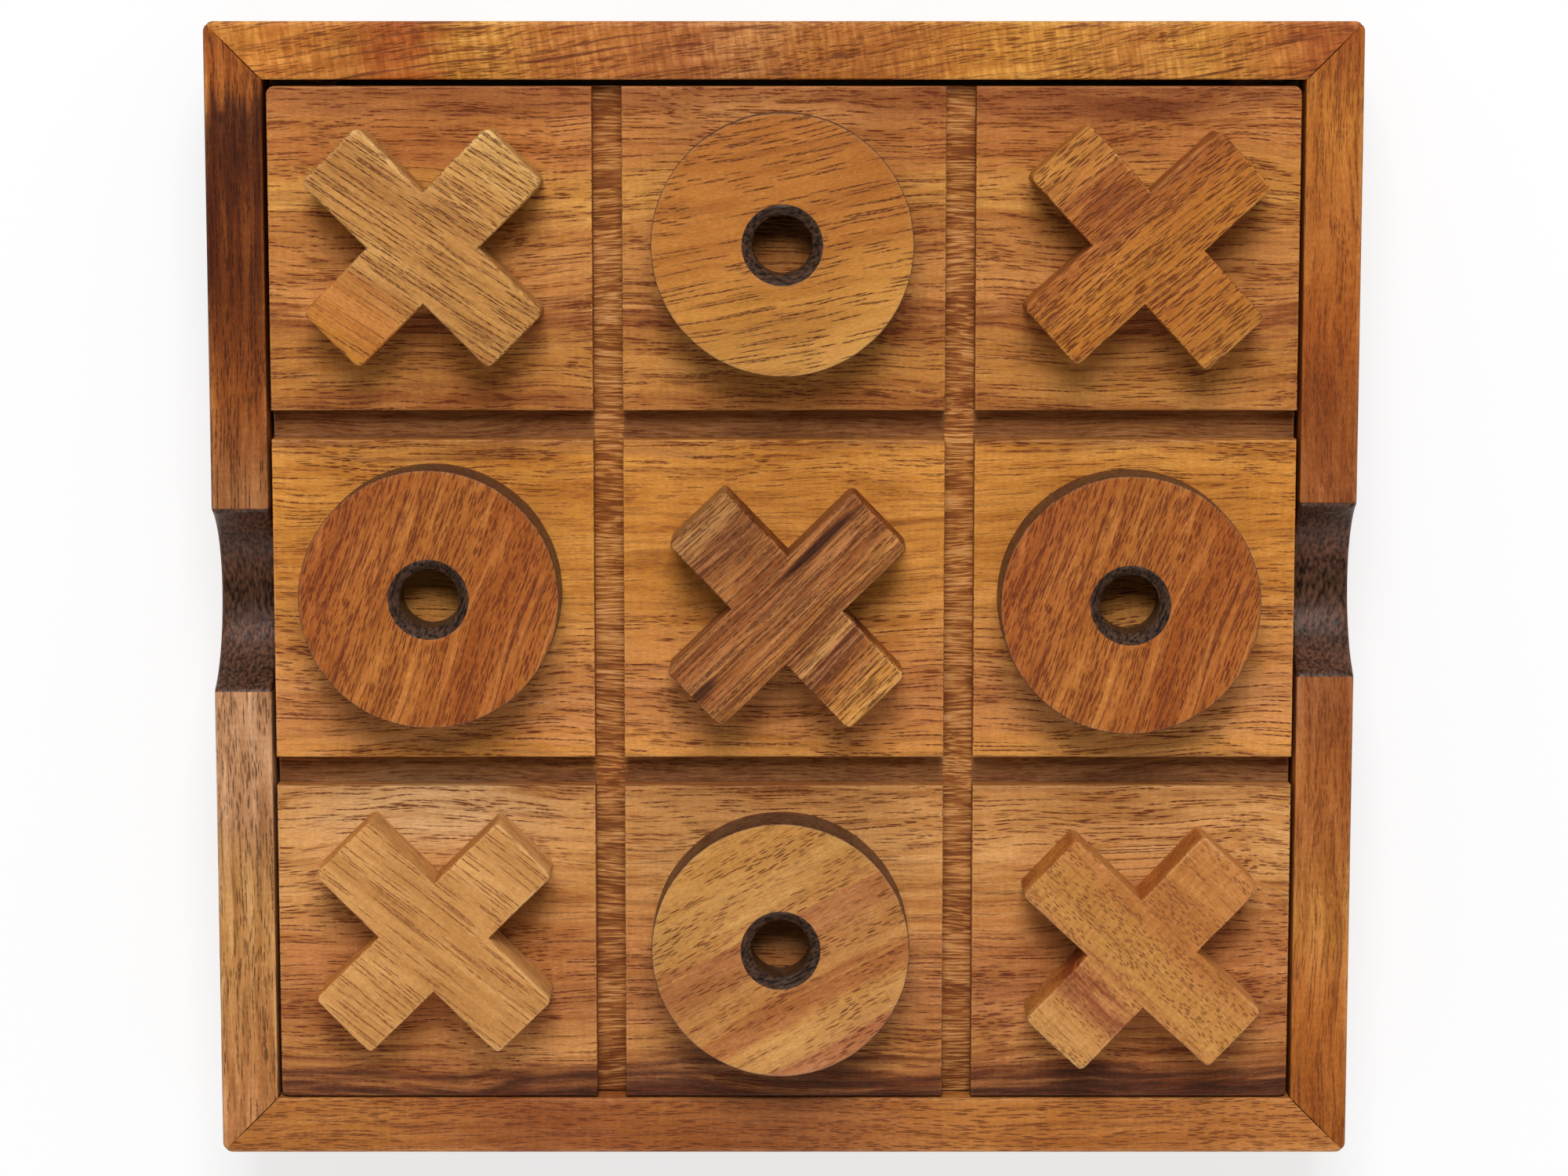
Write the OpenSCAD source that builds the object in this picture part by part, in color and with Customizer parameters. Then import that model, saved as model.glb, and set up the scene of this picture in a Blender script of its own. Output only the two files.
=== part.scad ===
// Boxed noughts and crosses game in solid hardwood.
// A mitred tray holds a lift-out playing board of nine raised squares,
// and the nine loose pieces stand on the squares or lie in the tray.
// +Z is up, +X to the right, +Y to the back, and the tray stands on z = 0.

/* [Tray] */
// Outside length of each side of the square tray
tray_w = 200; // [185:1:240]
// Height of the four rails
rail_h = 32; // [28:1:50]
// Thickness of the four rails
rail_t = 10; // [8:0.5:14]
// Width of the sanded flats along the rails' long edges
rail_ease = 0.8; // [0.2:0.1:1.5]
// Radius of the tray's four upright corners
tray_corner_r = 1.8; // [0.5:0.1:3]

/* [Base panel] */
// Thickness of the base panel
base_t = 4; // [3:0.5:6]
// Height of the base panel's underside above the table
base_rise = 2; // [1:0.5:4]
// Depth of the groove that runs round inside the rails for the base panel
base_groove_d = 4; // [2:0.5:5]
// Play between the base panel's edge and the floor of its groove
base_edge_play = 0.5; // [0.2:0.1:1]
// Play above the base panel in its groove
base_top_play = 0.2; // [0.1:0.1:0.5]

/* [Corner blocks] */
// Width of the square blocks in the tray's inner corners
block_w = 12; // [8:0.5:20]

/* [Playing board] */
// Thickness of the playing board
board_t = 9; // [7.5:0.5:12]
// Mean gap between the board's edge and the rails
board_play = 0.7; // [0.4:0.1:1.5]
// How far the board lies from the middle of the tray, towards the back
board_shift_y = -0.4; // [-0.4:0.1:0.4]
// Depth of the board's face below the top of the rails
board_sink = 0.3; // [0:0.1:2]
// Radius of the board's four corners, seen from above
board_corner_r = 1.4; // [0.4:0.1:4]
// Width of the grooves between the squares
groove_w = 5.1; // [3:0.1:8]
// Depth of the grooves between the squares
groove_d = 4.2; // [2:0.1:5]
// Width of the sanded flats round the squares and the board's edge
square_ease = 0.4; // [0.1:0.1:1]

/* [Finger scoops] */
// Radius of the scoops cut through the left and right rails
scoop_r = 16.5; // [12:0.5:22]
// Depth of the left rail's scoop
scoop_left_d = 11; // [6:0.1:14]
// Depth of the right rail's scoop
scoop_right_d = 9.3; // [6:0.1:14]
// Radius of the lips where a scoop meets the top of its rail
scoop_lip_r = 1.5; // [0.5:0.1:4]
// Distance of the left scoop's middle behind the middle of the rail
scoop_left_y = -0.6; // [-10:0.1:10]
// Distance of the right scoop's middle behind the middle of the rail
scoop_right_y = 1.3; // [-10:0.1:10]

/* [Pieces] */
// Thickness of every piece
piece_t = 11; // [7:0.5:14]
// Width of the sanded flats along the pieces' edges
piece_ease = 0.5; // [0.1:0.1:1]
// Diameter of the rings
ring_dia = 45; // [36:0.5:50]
// Diameter of the hole through each ring
ring_hole_dia = 10.4; // [6:0.1:16]
// Width and depth of the countersinks at both ends of a ring's hole
ring_sink = 1.7; // [0.5:0.1:3]
// Length of a cross's two bars
cross_len = 45; // [36:0.5:52]
// Width of a cross's two bars
cross_bar_w = 13.7; // [9:0.1:18]

/* [Hidden] */

// How far cutting shapes run past what they cut
past = 5;
// Facets of round shapes
$fn = 96;

// Tray
opening_w = tray_w - 2 * rail_t;
base_w = opening_w + 2 * (base_groove_d - base_edge_play);
base_top_z = base_rise + base_t;

// Playing board
board_w = opening_w - 2 * board_play;
board_top_z = rail_h - board_sink;
board_under_z = board_top_z - board_t;
square_w = (board_w - 2 * groove_w) / 3;
pitch = square_w + groove_w;

// Widths of the pieces along the squares' sides
cross_span = (cross_len + cross_bar_w) * sqrt(1 / 2);
ring_span = ring_dia;

// Where each piece stands on its square: column, row, slide right, slide back, turn.
// Columns and rows run from -1 at the left and front to 1 at the right and back.
// Slides are shares of the free width beside the piece, and turns are degrees.
cross_back_left_at = [-1, 1, -0.05, 0.1, 0];
cross_back_right_at = [1, 1, 0.11, 0.1, -2.5];
cross_centre_at = [0, 0, 0.07, -0.05, -1];
cross_front_left_at = [-1, -1, 0.03, 0.44, -0.5];
cross_front_right_at = [1, -1, 0.16, 0.05, 1.7];
ring_back_at = [0, 1, -0.05, 0.22, 0];
ring_left_at = [-1, 0, 0, 0.27, 0];
ring_right_at = [1, 0, -0.27, 0.09, 0];
ring_front_at = [0, -1, -0.11, 0.18, 0];

// Outlines

// Rectangle about the origin with its corners cut off at 45 degrees
module eased_rect(w, h, ease) {
    x = w / 2;
    y = h / 2;
    polygon([
        [-x + ease, -y], [x - ease, -y], [x, -y + ease], [x, y - ease],
        [x - ease, y], [-x + ease, y], [-x, y - ease], [-x, -y + ease]
    ]);
}

// Square about the origin with round corners
module round_square(w, r) {
    square([w - 2 * r, w], center = true);
    square([w, w - 2 * r], center = true);
    for (x = [-1, 1], y = [-1, 1])
        translate([x * (w / 2 - r), y * (w / 2 - r)]) circle(r = r);
}

// Slab that stands on z = 0, with all its edges eased
module eased_slab(w, d, h, ease) {
    translate([0, 0, h / 2])
        intersection() {
            rotate([90, 0, 0]) linear_extrude(d, center = true) eased_rect(w, h, ease);
            rotate([90, 0, 90]) linear_extrude(w, center = true) eased_rect(d, h, ease);
            linear_extrude(h, center = true) eased_rect(w, d, ease);
        }
}

// Tray

// One rail along the back, cut to 45 degrees at both ends and grooved for the base
module rail_blank() {
    outer = tray_w / 2;
    inner = opening_w / 2;
    difference() {
        intersection() {
            translate([0, outer - rail_t / 2, rail_h / 2])
                rotate([90, 0, 90])
                    linear_extrude(tray_w, center = true) eased_rect(rail_t, rail_h, rail_ease);
            linear_extrude(rail_h)
                polygon([[-outer, outer], [outer, outer], [inner, inner], [-inner, inner]]);
            linear_extrude(rail_h) round_square(tray_w, tray_corner_r);
        }
        translate([-outer, 0, base_rise])
            cube([tray_w, inner + base_groove_d, base_t + base_top_play]);
    }
}

// Outline of a scoop about its cutter's centre, lips included, open at the top
module scoop_outline(depth) {
    rim_z = depth - scoop_r;
    lip_z = rim_z - scoop_lip_r;
    reach = scoop_r + scoop_lip_r;
    lip_x = sqrt(reach * reach - lip_z * lip_z);
    touch = scoop_r / reach;
    circle(r = scoop_r);
    for (side = [-1, 1])
        difference() {
            polygon([
                [side * lip_x, rim_z + past],
                [side * lip_x, lip_z],
                [side * lip_x * touch, lip_z * touch],
                [0, rim_z],
                [0, rim_z + past]
            ]);
            translate([side * lip_x, lip_z]) circle(r = scoop_lip_r);
        }
}

// Rail at a side of the tray: +1 for right, -1 for left
module side_rail(side, depth, scoop_y) {
    difference() {
        rotate([0, 0, -90 * side]) rail_blank();
        translate([side * (tray_w / 2 - rail_t / 2), scoop_y, rail_h - depth + scoop_r])
            rotate([90, 0, 90])
                linear_extrude(rail_t + 2 * past, center = true) scoop_outline(depth);
    }
}

module rail_back() {
    color("#b5692f") rail_blank();
}

module rail_front() {
    color("#b4713c") rotate([0, 0, 180]) rail_blank();
}

module rail_left() {
    color("#6b3a1e") side_rail(-1, scoop_left_d, scoop_left_y);
}

module rail_right() {
    color("#a85c2c") side_rail(1, scoop_right_d, scoop_right_y);
}

module base_panel() {
    color("#c9a06a")
        translate([0, 0, base_rise + base_t / 2])
            cube([base_w, base_w, base_t], center = true);
}

// Block in a corner of the tray, from the base up to the board's underside
module corner_block(side_x, side_y) {
    middle = opening_w / 2 - block_w / 2;
    color("#b98950")
        translate([side_x * middle, side_y * middle, (base_top_z + board_under_z) / 2])
            cube([block_w, block_w, board_under_z - base_top_z], center = true);
}

// Playing board

// Groove between two rows of squares, with eased mouths
module square_groove() {
    half = groove_w / 2;
    rotate([90, 0, 90])
        linear_extrude(board_w + 2 * past, center = true)
            polygon([
                [-half, -groove_d], [half, -groove_d], [half, -square_ease],
                [half + square_ease + past, past], [-half - square_ease - past, past],
                [-half, -square_ease]
            ]);
}

module playing_board() {
    color("#b87a3c")
        translate([0, board_shift_y, board_under_z])
            difference() {
                intersection() {
                    eased_slab(board_w, board_w, board_t, square_ease);
                    linear_extrude(board_t) round_square(board_w, board_corner_r);
                }
                for (side = [-1, 1], turn = [0, 90])
                    rotate([0, 0, turn])
                        translate([0, side * pitch / 2, board_t]) square_groove();
            }
}

// Pieces

// Puts a piece that is as wide as span on its square
module on_square(at, span) {
    room = (square_w - span) / 2;
    translate([
        at[0] * pitch + at[2] * room,
        at[1] * pitch + at[3] * room + board_shift_y,
        board_top_z
    ])
        rotate([0, 0, at[4]])
            children();
}

// Disc with a countersunk hole
module ring() {
    outer = ring_dia / 2;
    hole = ring_hole_dia / 2;
    rim = hole + ring_sink;
    rotate_extrude()
        polygon([
            [rim, 0], [outer - piece_ease, 0], [outer, piece_ease], [outer, piece_t - piece_ease],
            [outer - piece_ease, piece_t], [rim, piece_t], [hole, piece_t - ring_sink], [hole, ring_sink]
        ]);
}

// Cross sawn from one plank, with square ends
module cross() {
    for (turn = [45, -45])
        rotate([0, 0, turn]) eased_slab(cross_len, cross_bar_w, piece_t, piece_ease);
}

module cross_back_left() {
    color("#b98b50") on_square(cross_back_left_at, cross_span) cross();
}

module cross_back_right() {
    color("#ad6c30") on_square(cross_back_right_at, cross_span) cross();
}

module cross_centre() {
    color("#8a4f2c") on_square(cross_centre_at, cross_span) cross();
}

module cross_front_left() {
    color("#c8954f") on_square(cross_front_left_at, cross_span) cross();
}

module cross_front_right() {
    color("#bb8244") on_square(cross_front_right_at, cross_span) cross();
}

module ring_back() {
    color("#bf873e") on_square(ring_back_at, ring_span) ring();
}

module ring_left() {
    color("#9a5a30") on_square(ring_left_at, ring_span) ring();
}

module ring_right() {
    color("#9a5a30") on_square(ring_right_at, ring_span) ring();
}

module ring_front() {
    color("#b98750") on_square(ring_front_at, ring_span) ring();
}

rail_back();
rail_front();
rail_left();
rail_right();
base_panel();
corner_block(-1, 1);  // block_back_left
corner_block(1, 1);  // block_back_right
corner_block(-1, -1);  // block_front_left
corner_block(1, -1);  // block_front_right
playing_board();
cross_back_left();
cross_back_right();
cross_centre();
cross_front_left();
cross_front_right();
ring_back();
ring_left();
ring_right();
ring_front();
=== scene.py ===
"""A boxed noughts and crosses game in oiled acacia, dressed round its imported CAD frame.

A mitred tray holds a grooved playing board of nine raised squares. Four sawn discs with burnt
holes and five crosses, each cut from its own plank, stand on the squares. Lengths in the classes
are in millimetres, and meshes are made in metres. Each plank's pattern is worked out in its own
fibre frame, so that grain runs through a piece and comes out on its sides and ends.
"""

import logging
import math
from dataclasses import dataclass, field
from enum import Enum
from typing import Sequence

import bmesh
import bpy
import numpy as np
from mathutils import Matrix, Vector, noise


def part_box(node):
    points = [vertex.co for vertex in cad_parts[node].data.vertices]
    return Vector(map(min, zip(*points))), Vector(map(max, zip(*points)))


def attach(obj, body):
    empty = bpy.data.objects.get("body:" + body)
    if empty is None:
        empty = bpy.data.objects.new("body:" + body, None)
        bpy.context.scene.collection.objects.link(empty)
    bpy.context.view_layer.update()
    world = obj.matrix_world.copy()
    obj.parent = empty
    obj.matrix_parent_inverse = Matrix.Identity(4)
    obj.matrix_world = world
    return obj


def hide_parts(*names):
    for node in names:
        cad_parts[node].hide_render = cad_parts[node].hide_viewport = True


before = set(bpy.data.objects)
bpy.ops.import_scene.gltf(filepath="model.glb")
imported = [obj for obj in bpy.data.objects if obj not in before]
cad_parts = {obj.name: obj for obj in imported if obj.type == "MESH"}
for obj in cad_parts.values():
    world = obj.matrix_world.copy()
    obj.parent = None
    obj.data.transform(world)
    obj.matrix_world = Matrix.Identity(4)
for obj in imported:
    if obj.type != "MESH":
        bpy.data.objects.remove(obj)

MM = 0.001
log = logging.getLogger("game")

Colour = tuple[float, float, float, float]
Inputs = dict[str | int, object]
Material = bpy.types.Material
Socket = bpy.types.NodeSocket
Tree = bpy.types.NodeTree

WHITE: Colour = (1.0, 1.0, 1.0, 1.0)

# How far apart two seeds' patterns of unevenness lie, as times their bumps' size.
SEED_SHIFT = (17.3, 5.1)


class Mark(Enum):
    """A tool's mark at a point, and painted light laid with it, kept from 0 to 1 for the finish."""

    # The eased mark pales edges, partly as wear and partly as a painted highlight.
    EASED = "eased"
    # The scorch mark is real char on the rings and scoops, painted sheen where it dips along the
    # scoops, and painted shade on the board's groove floors.
    SCORCHED = "scorched"
    ROUTED = "routed"


class Side(Enum):
    """Where a rail stands, as the turn in degrees that takes it there from the back."""

    BACK = 0
    LEFT = 90
    FRONT = 180
    RIGHT = -90


def linear(code: str) -> Colour:
    """Turns an sRGB hex colour into the linear values that shaders use.

    Args:
        code: The colour, such as "#b5692f".

    Returns:
        Red, green, blue and an alpha of one.
    """
    shares = [int(code[i : i + 2], 16) / 255 for i in (1, 3, 5)]
    curved = [s / 12.92 if s <= 0.04045 else ((s + 0.055) / 1.055) ** 2.4 for s in shares]
    return curved[0], curved[1], curved[2], 1.0


def add(
    tree: Tree,
    kind: str,
    inputs: Inputs | None = None,
    out: str = "",
    stops: Sequence[tuple[float, Colour]] = (),
    **settings: object,
) -> Socket:
    """Adds a node with its settings and links.

    Args:
        tree: The material's or world's nodes.
        kind: The node's type name.
        inputs: Values or sockets for the inputs in use, by name or by place among them.
        out: The name of the output to return, or nothing for the first one in use.
        stops: Places and colours of a colour ramp.
        settings: The node's own options.

    Returns:
        The output socket asked for.
    """
    made = tree.nodes.new(kind)
    for name, value in settings.items():
        setattr(made, name, value)
    for i, (place, colour) in enumerate(stops):
        elements = made.color_ramp.elements
        stop = elements[i] if i < len(elements) else elements.new(place)
        stop.position = place
        stop.color = colour
    in_use = [socket for socket in made.inputs if socket.enabled]
    for key, value in (inputs or {}).items():
        socket = in_use[key] if isinstance(key, int) else next(s for s in in_use if s.name == key)
        if isinstance(value, Socket):
            tree.links.new(value, socket)
        else:
            socket.default_value = value
    return next(s for s in made.outputs if s.enabled and out in ("", s.name))


@dataclass(frozen=True)
class Patch:
    """A cloud of another colour in a plank, such as red heart or a mineral stain.

    Attributes:
        colour: The sRGB colour at its middle.
        along: Its middle along the fibres, in mm from the piece's middle.
        across: Its middle across the fibres.
        length: Its reach along the fibres to each side.
        width: Its reach across the fibres to each side.
        strength: How much of the colour shows at its middle.
        calm: How many of the cut vessels are missing at its middle, as a share.
    """

    colour: str
    along: float
    across: float
    length: float
    width: float
    strength: float = 0.8
    calm: float = 0


@dataclass(frozen=True)
class Cloudy:
    """A cloudy pattern that is drawn out along the fibres.

    Attributes:
        length: Its size along the fibres, in mm.
        width: Its size across them, in mm.
        detail: How many finer patterns lie on it.
        low: The raw value that becomes 0.
        high: The raw value that becomes 1.
    """

    length: float
    width: float
    detail: float
    low: float = 0.28
    high: float = 0.72


@dataclass(frozen=True)
class Plank:
    """Acacia, planed, sanded and wiped with oil, which leaves it satin and open-pored.

    The wood is golden to red-brown in bands. Its wide vessels are cut open by the plane and show
    as dark dashes along the fibres, a quarter of a millimetre wide, and as dots on end grain.

    Attributes:
        name: The material's name: the wood, how its surface was made, and where it is used.
        slot: The record's material slot.
        bands: Places in mm across the growth bands and their sRGB colours, in rising order.
        fibre_turn: Direction of the fibres in the piece, in degrees from its +X axis.
        band_turn: Direction across the bands, in degrees from the fibres.
        dive: Slope in degrees at which the fibres run down into the face.
        streaks: How much light and dark streaks differ.
        deep: Colour of the dark seams.
        seams: How strongly those seams show.
        seam_width: Width of those seams, in mm.
        wave: Sideways sway of the fibres, in mm.
        wave_length: Length of that sway along the fibres, in mm.
        vessel: Colour of the cut vessels.
        dashes: How dark the short ones are.
        dash_length: Their spacing along the fibres, in mm; they are about two thirds as long.
        dash_gap: Their spacing across the fibres, in mm.
        drift: Share of the wood that has few dashes.
        ruddy: How much more dye the drifts hold where the dashes lie.
        lines: How dark the long cut vessels are.
        line_every: Spacing of the long vessels across the fibres, in mm.
        line_length: Their spacing along the fibres; they are about half as long.
        curl: Strength of the shimmer across the fibres.
        rough: Roughness of the face between the vessels.
        patches: Clouds of other colours.
        marks: What tools did to the pieces of this wood, and the painted light laid with them.
        seed: Where in the log the plank was cut.
    """

    name: str
    slot: str
    bands: tuple[tuple[float, str], ...]
    fibre_turn: float = 0
    band_turn: float = 90
    dive: float = 2
    streaks: float = 0.24
    deep: str = "#6a3416"
    seams: float = 0.35
    seam_width: float = 1.3
    wave: float = 1.2
    wave_length: float = 45
    vessel: str = "#642e12"
    dashes: float = 0.8
    dash_length: float = 4.2
    dash_gap: float = 0.34
    drift: float = 0.35
    ruddy: float = 0.16
    lines: float = 0.7
    line_every: float = 1.8
    line_length: float = 40
    curl: float = 0.1
    rough: float = 0.5
    patches: tuple[Patch, ...] = ()
    marks: tuple[Mark, ...] = (Mark.EASED,)
    seed: int = 0

    def material(self) -> Material:
        """Makes the finish's material.

        Returns:
            The material, with its nodes laid.
        """
        made = bpy.data.materials.new(self.name)
        made.use_nodes = True
        made.node_tree.nodes.clear()
        Finish(self, made.node_tree).lay()
        return made


class Finish:
    """Lays the nodes of one plank's finish, from the log's pattern to the oiled surface."""

    # How far apart in the log two seeds' planks lie, in mm.
    SEED_STEP = (173.0, 91.0, 57.0)

    # Single fibres are 0.02 mm wide, too fine to show, and are drawn 0.17 mm wide instead.
    FIBRES = Cloudy(0.9, 0.17, 1)

    # Streaks, clouds of tone, the ripples of a curl, dark seams and drifts of open pores, in mm.
    STREAKS = Cloudy(30, 1.3, 4)
    CLOUDS = Cloudy(38, 14, 2, 0.3, 0.7)
    CURL = Cloudy(0.7, 5, 2, 0.3, 0.7)
    SEAM_LENGTH, SEAM_LOW, SEAM_HIGH = 36, 0.56, 0.68
    DRIFT_LENGTH, DRIFT_WIDTH = 22, 2.6

    # A drift starts where the raw cloud passes this start and a part of the plank's own drift,
    # and fades in over so much to each side of it.
    DRIFT_START, DRIFT_PART, DRIFT_FADE = 0.3, 0.5, 0.08

    # How much the fibres and the clouds vary the dye, beside what each plank sets.
    FIBRE_TONE, CLOUD_TONE = 0.26, 0.24

    # The sway is shorter across the fibres than along them, and differs from seed to seed. A
    # cloud strays from its middle by about a quarter, which the reach makes up for.
    SWAY_SQUEEZE, SWAY_STEP, SWAY_REACH = 1.6, 3.1, 4

    # Width of a long cut vessel in mm, and how large a short one is in its cell.
    LINE_MM = 0.24
    DASH_SIZE = 0.34

    # A vessel fills a ball in its cell, drawn out along the fibres. Its share of the cell is 4.2
    # times the radius cubed, and a cut shows it 1.5 radii wide, so these give radius and cell.
    CUBE_OF_SHARE, CELL_OF_WIDTH = 0.24, 0.67

    # The edge of a vessel fades between these shares of its radius.
    VESSEL_EDGE = (1.15, 0.75)

    # A long line fades to this share of its strength as the fibres go from dark to pale.
    LINE_FADE, FAINT_LINE = (0.3, 0.7), 0.45

    # The share of the short vessels that lies in the drifts, and the rest.
    IN_DRIFTS, ELSEWHERE = 0.85, 0.15

    # The bands are feathered by the streaks over so many mm, or a share of all of them where
    # they are narrow, and they lean as they go down.
    FEATHER_MM, FEATHER_MOST = 7.0, 0.1
    BAND_LEAN = 0.25

    # A cloud of another colour fades between these shares of its reach, moved by the streaks.
    PATCH_EDGE, PATCH_FEATHER = (1.3, 0.5), 0.5

    # Oil deepens the wood, end grain drinks more of it, and worn edges have lost some. That
    # paling of the edges is also a painted highlight where they catch the light.
    OILED, END_GRAIN, WORN = 1.07, 1.3, 0.8

    # How squarely a face has to cut the fibres before it counts as end grain.
    END_START = 0.3

    # What a place that is paler by 1 adds to the power of its colour, and how many times as
    # bright it is.
    DYE_SHARE, LIGHT_BASE = -0.5, 1.85

    # A router tears fibres up in short tufts, which differ from stretch to stretch.
    TORN = Cloudy(6, 0.36, 3, 0.38, 0.62)
    STRETCHES = Cloudy(26, 4.0, 2, 0.36, 0.64)
    STRETCH_SHARE, TORN_SHARE = 0.35, 0.8
    CUT_WOOD, CUT_SHARE = "#be783a", 0.55
    TUFTS = (0.55, 1.0, "#d89e62")
    CRUSHED = (0.7, 0.2, "#6a3014")

    # A blunt cutter first browns the wood, then chars it in flecks. The same browning lays the
    # painted shade on the board's groove floors, and where the scoops are less charred it shows as
    # painted sheen.
    CHAR = Cloudy(1.6, 0.6, 4, 0.36, 0.66)
    BROWNED = (0.0, 0.6, "#381e12", "#6e4632")
    CHARRED = (0.7, 1.0, "#140b06", "#543a2a")

    # What open vessels, routed floors and char add to the roughness of the face.
    VESSEL_ROUGH, ROUTED_ROUGH, CHAR_ROUGH = 0.3, 0.3, -0.18

    # Heights in tenths of a mm: fibres stand up, vessels are open, torn tufts stand higher.
    # Char levels them to a share.
    FIBRE_RISE, VESSEL_RISE, TUFT_RISE = 0.2, -1.2, 2.0
    CHAR_KEEPS = 0.4
    BUMP_MM, BUMP_STRENGTH = 0.1, 0.8

    # Dried oil has an IOR of about 1.5, and over open pores it mirrors less than a flat film.
    IOR, MIRROR = 1.5, 0.15

    def __init__(self, plank: Plank, tree: Tree) -> None:
        """Starts the finish.

        Args:
            plank: The wood.
            tree: The material's empty nodes.
        """
        self.plank = plank
        self.tree = tree
        self.fibre = self._fibre_frame()
        away = tuple(plank.seed * step for step in self.SEED_STEP)
        self.in_log = self.add("ShaderNodeVectorMath", {0: self.fibre, 1: away}, operation="ADD")
        self.streak = self._cloudy(self.STREAKS)
        self.fine = self._cloudy(self.FIBRES)

    def add(self, kind: str, inputs: Inputs | None = None, **settings: object) -> Socket:
        """Adds a node to this finish, as the function of the same name does."""
        return add(self.tree, kind, inputs, **settings)

    def lay(self) -> None:
        """Lays the wood's colour, what the tools left and the surface itself."""
        plank = self.plank
        bare = self.DRIFT_START + self.DRIFT_PART * plank.drift
        low, high = bare - self.DRIFT_FADE, bare + self.DRIFT_FADE
        porous = self._cloudy(Cloudy(self.DRIFT_LENGTH, self.DRIFT_WIDTH, 3, low, high))
        seams = Cloudy(self.SEAM_LENGTH, plank.seam_width, 4, self.SEAM_LOW, self.SEAM_HIGH)
        seam = self._cloudy(seams)
        tones = (
            (self.streak, plank.streaks),
            (self.fine, self.FIBRE_TONE),
            (self._cloudy(self.CLOUDS), self.CLOUD_TONE),
            (self._cloudy(self.CURL), plank.curl),
            (porous, -plank.ruddy),
        )
        colour, calm = self._patched(self._bands())
        cuts = {0: self._cuts(porous), 1: calm}
        self.cuts = self.add("ShaderNodeMath", cuts, operation="MULTIPLY")
        colour = self._toned(colour, tones)
        colour = self._stained(colour, seam, plank.seams, plank.deep)
        colour = self._stained(colour, self.cuts, 1.0, plank.vessel)
        self.colour = self._end_grain(colour)
        self._surface()

    def _fibre_frame(self) -> Socket:
        """Gives the place in mm: along the fibres, across them and down, with their sway.

        Returns:
            The place, which starts from the piece's own coordinates.
        """
        plank = self.plank
        place = self.add("ShaderNodeTexCoord", out="Object")
        place = self.add("ShaderNodeVectorMath", {0: place, "Scale": 1 / MM}, operation="SCALE")
        for degrees, axis in ((-plank.fibre_turn, "Z_AXIS"), (plank.dive, "Y_AXIS")):
            turn = {"Vector": place, "Angle": math.radians(degrees)}
            place = self.add("ShaderNodeVectorRotate", turn, rotation_type=axis)
        step = 1 / plank.wave_length
        across = self.SWAY_SQUEEZE * step
        swing = {0: place, 1: (step, across, across), 2: (self.SWAY_STEP * plank.seed, 0.0, 0.0)}
        shrunk = self.add("ShaderNodeVectorMath", swing, operation="MULTIPLY_ADD")
        clouds = {"Vector": shrunk, "Scale": 1.0, "Detail": 2.0}
        sway = self.add("ShaderNodeTexNoise", clouds, out="Color")
        middle = {0: sway, 1: (0.5, 0.5, 0.5)}
        sway = self.add("ShaderNodeVectorMath", middle, operation="SUBTRACT")
        reach = self.SWAY_REACH * plank.wave
        swayed = {0: sway, 1: (0.0, reach, reach), 2: place}
        return self.add("ShaderNodeVectorMath", swayed, operation="MULTIPLY_ADD")

    def _cloudy(self, pattern: Cloudy) -> Socket:
        """Makes a cloudy pattern.

        Args:
            pattern: Its sizes.

        Returns:
            A value from 0 to 1.
        """
        size = {0: self.in_log, 1: (1 / pattern.length, 1 / pattern.width, 1 / pattern.width)}
        scaled = self.add("ShaderNodeVectorMath", size, operation="MULTIPLY")
        clouds = {"Vector": scaled, "Scale": 1.0, "Detail": pattern.detail}
        raw = self.add("ShaderNodeTexNoise", clouds)
        return self.add("ShaderNodeMapRange", {0: raw, 1: pattern.low, 2: pattern.high})

    def _cuts(self, porous: Socket) -> Socket:
        """Draws the cut vessels: short dashes in drifts, and long broken lines.

        Args:
            porous: A value that is 1 in the drifts.

        Returns:
            How dark the vessels are, from 0 to 1.
        """
        plank = self.plank
        open_cells = []
        line_size = (self.CUBE_OF_SHARE * self.LINE_MM / plank.line_every) ** (1 / 3)
        line_gap = self.CELL_OF_WIDTH * self.LINE_MM / line_size
        start, end = self.VESSEL_EDGE
        for length, gap, size in (
            (plank.dash_length, plank.dash_gap, self.DASH_SIZE),
            (plank.line_length, line_gap, line_size),
        ):
            scale = {0: self.in_log, 1: (1 / length, 1 / gap, 1 / gap)}
            scaled = self.add("ShaderNodeVectorMath", scale, operation="MULTIPLY")
            near = self.add("ShaderNodeTexVoronoi", {"Vector": scaled, "Scale": 1.0})
            soft_edge = {0: near, 1: start * size, 2: end * size}
            open_cells.append(self.add("ShaderNodeMapRange", soft_edge))
        share = {0: porous, 1: self.IN_DRIFTS * plank.dashes, 2: self.ELSEWHERE * plank.dashes}
        here = self.add("ShaderNodeMath", share, operation="MULTIPLY_ADD")
        short = self.add("ShaderNodeMath", {0: open_cells[0], 1: here}, operation="MULTIPLY")
        start, end = self.LINE_FADE
        faint = self.FAINT_LINE * plank.lines
        faded = {0: self.fine, 1: start, 2: end, 3: plank.lines, 4: faint}
        broken = self.add("ShaderNodeMapRange", faded)
        long = self.add("ShaderNodeMath", {0: open_cells[1], 1: broken}, operation="MULTIPLY")
        return self.add("ShaderNodeMath", {0: short, 1: long}, operation="MAXIMUM")

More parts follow.
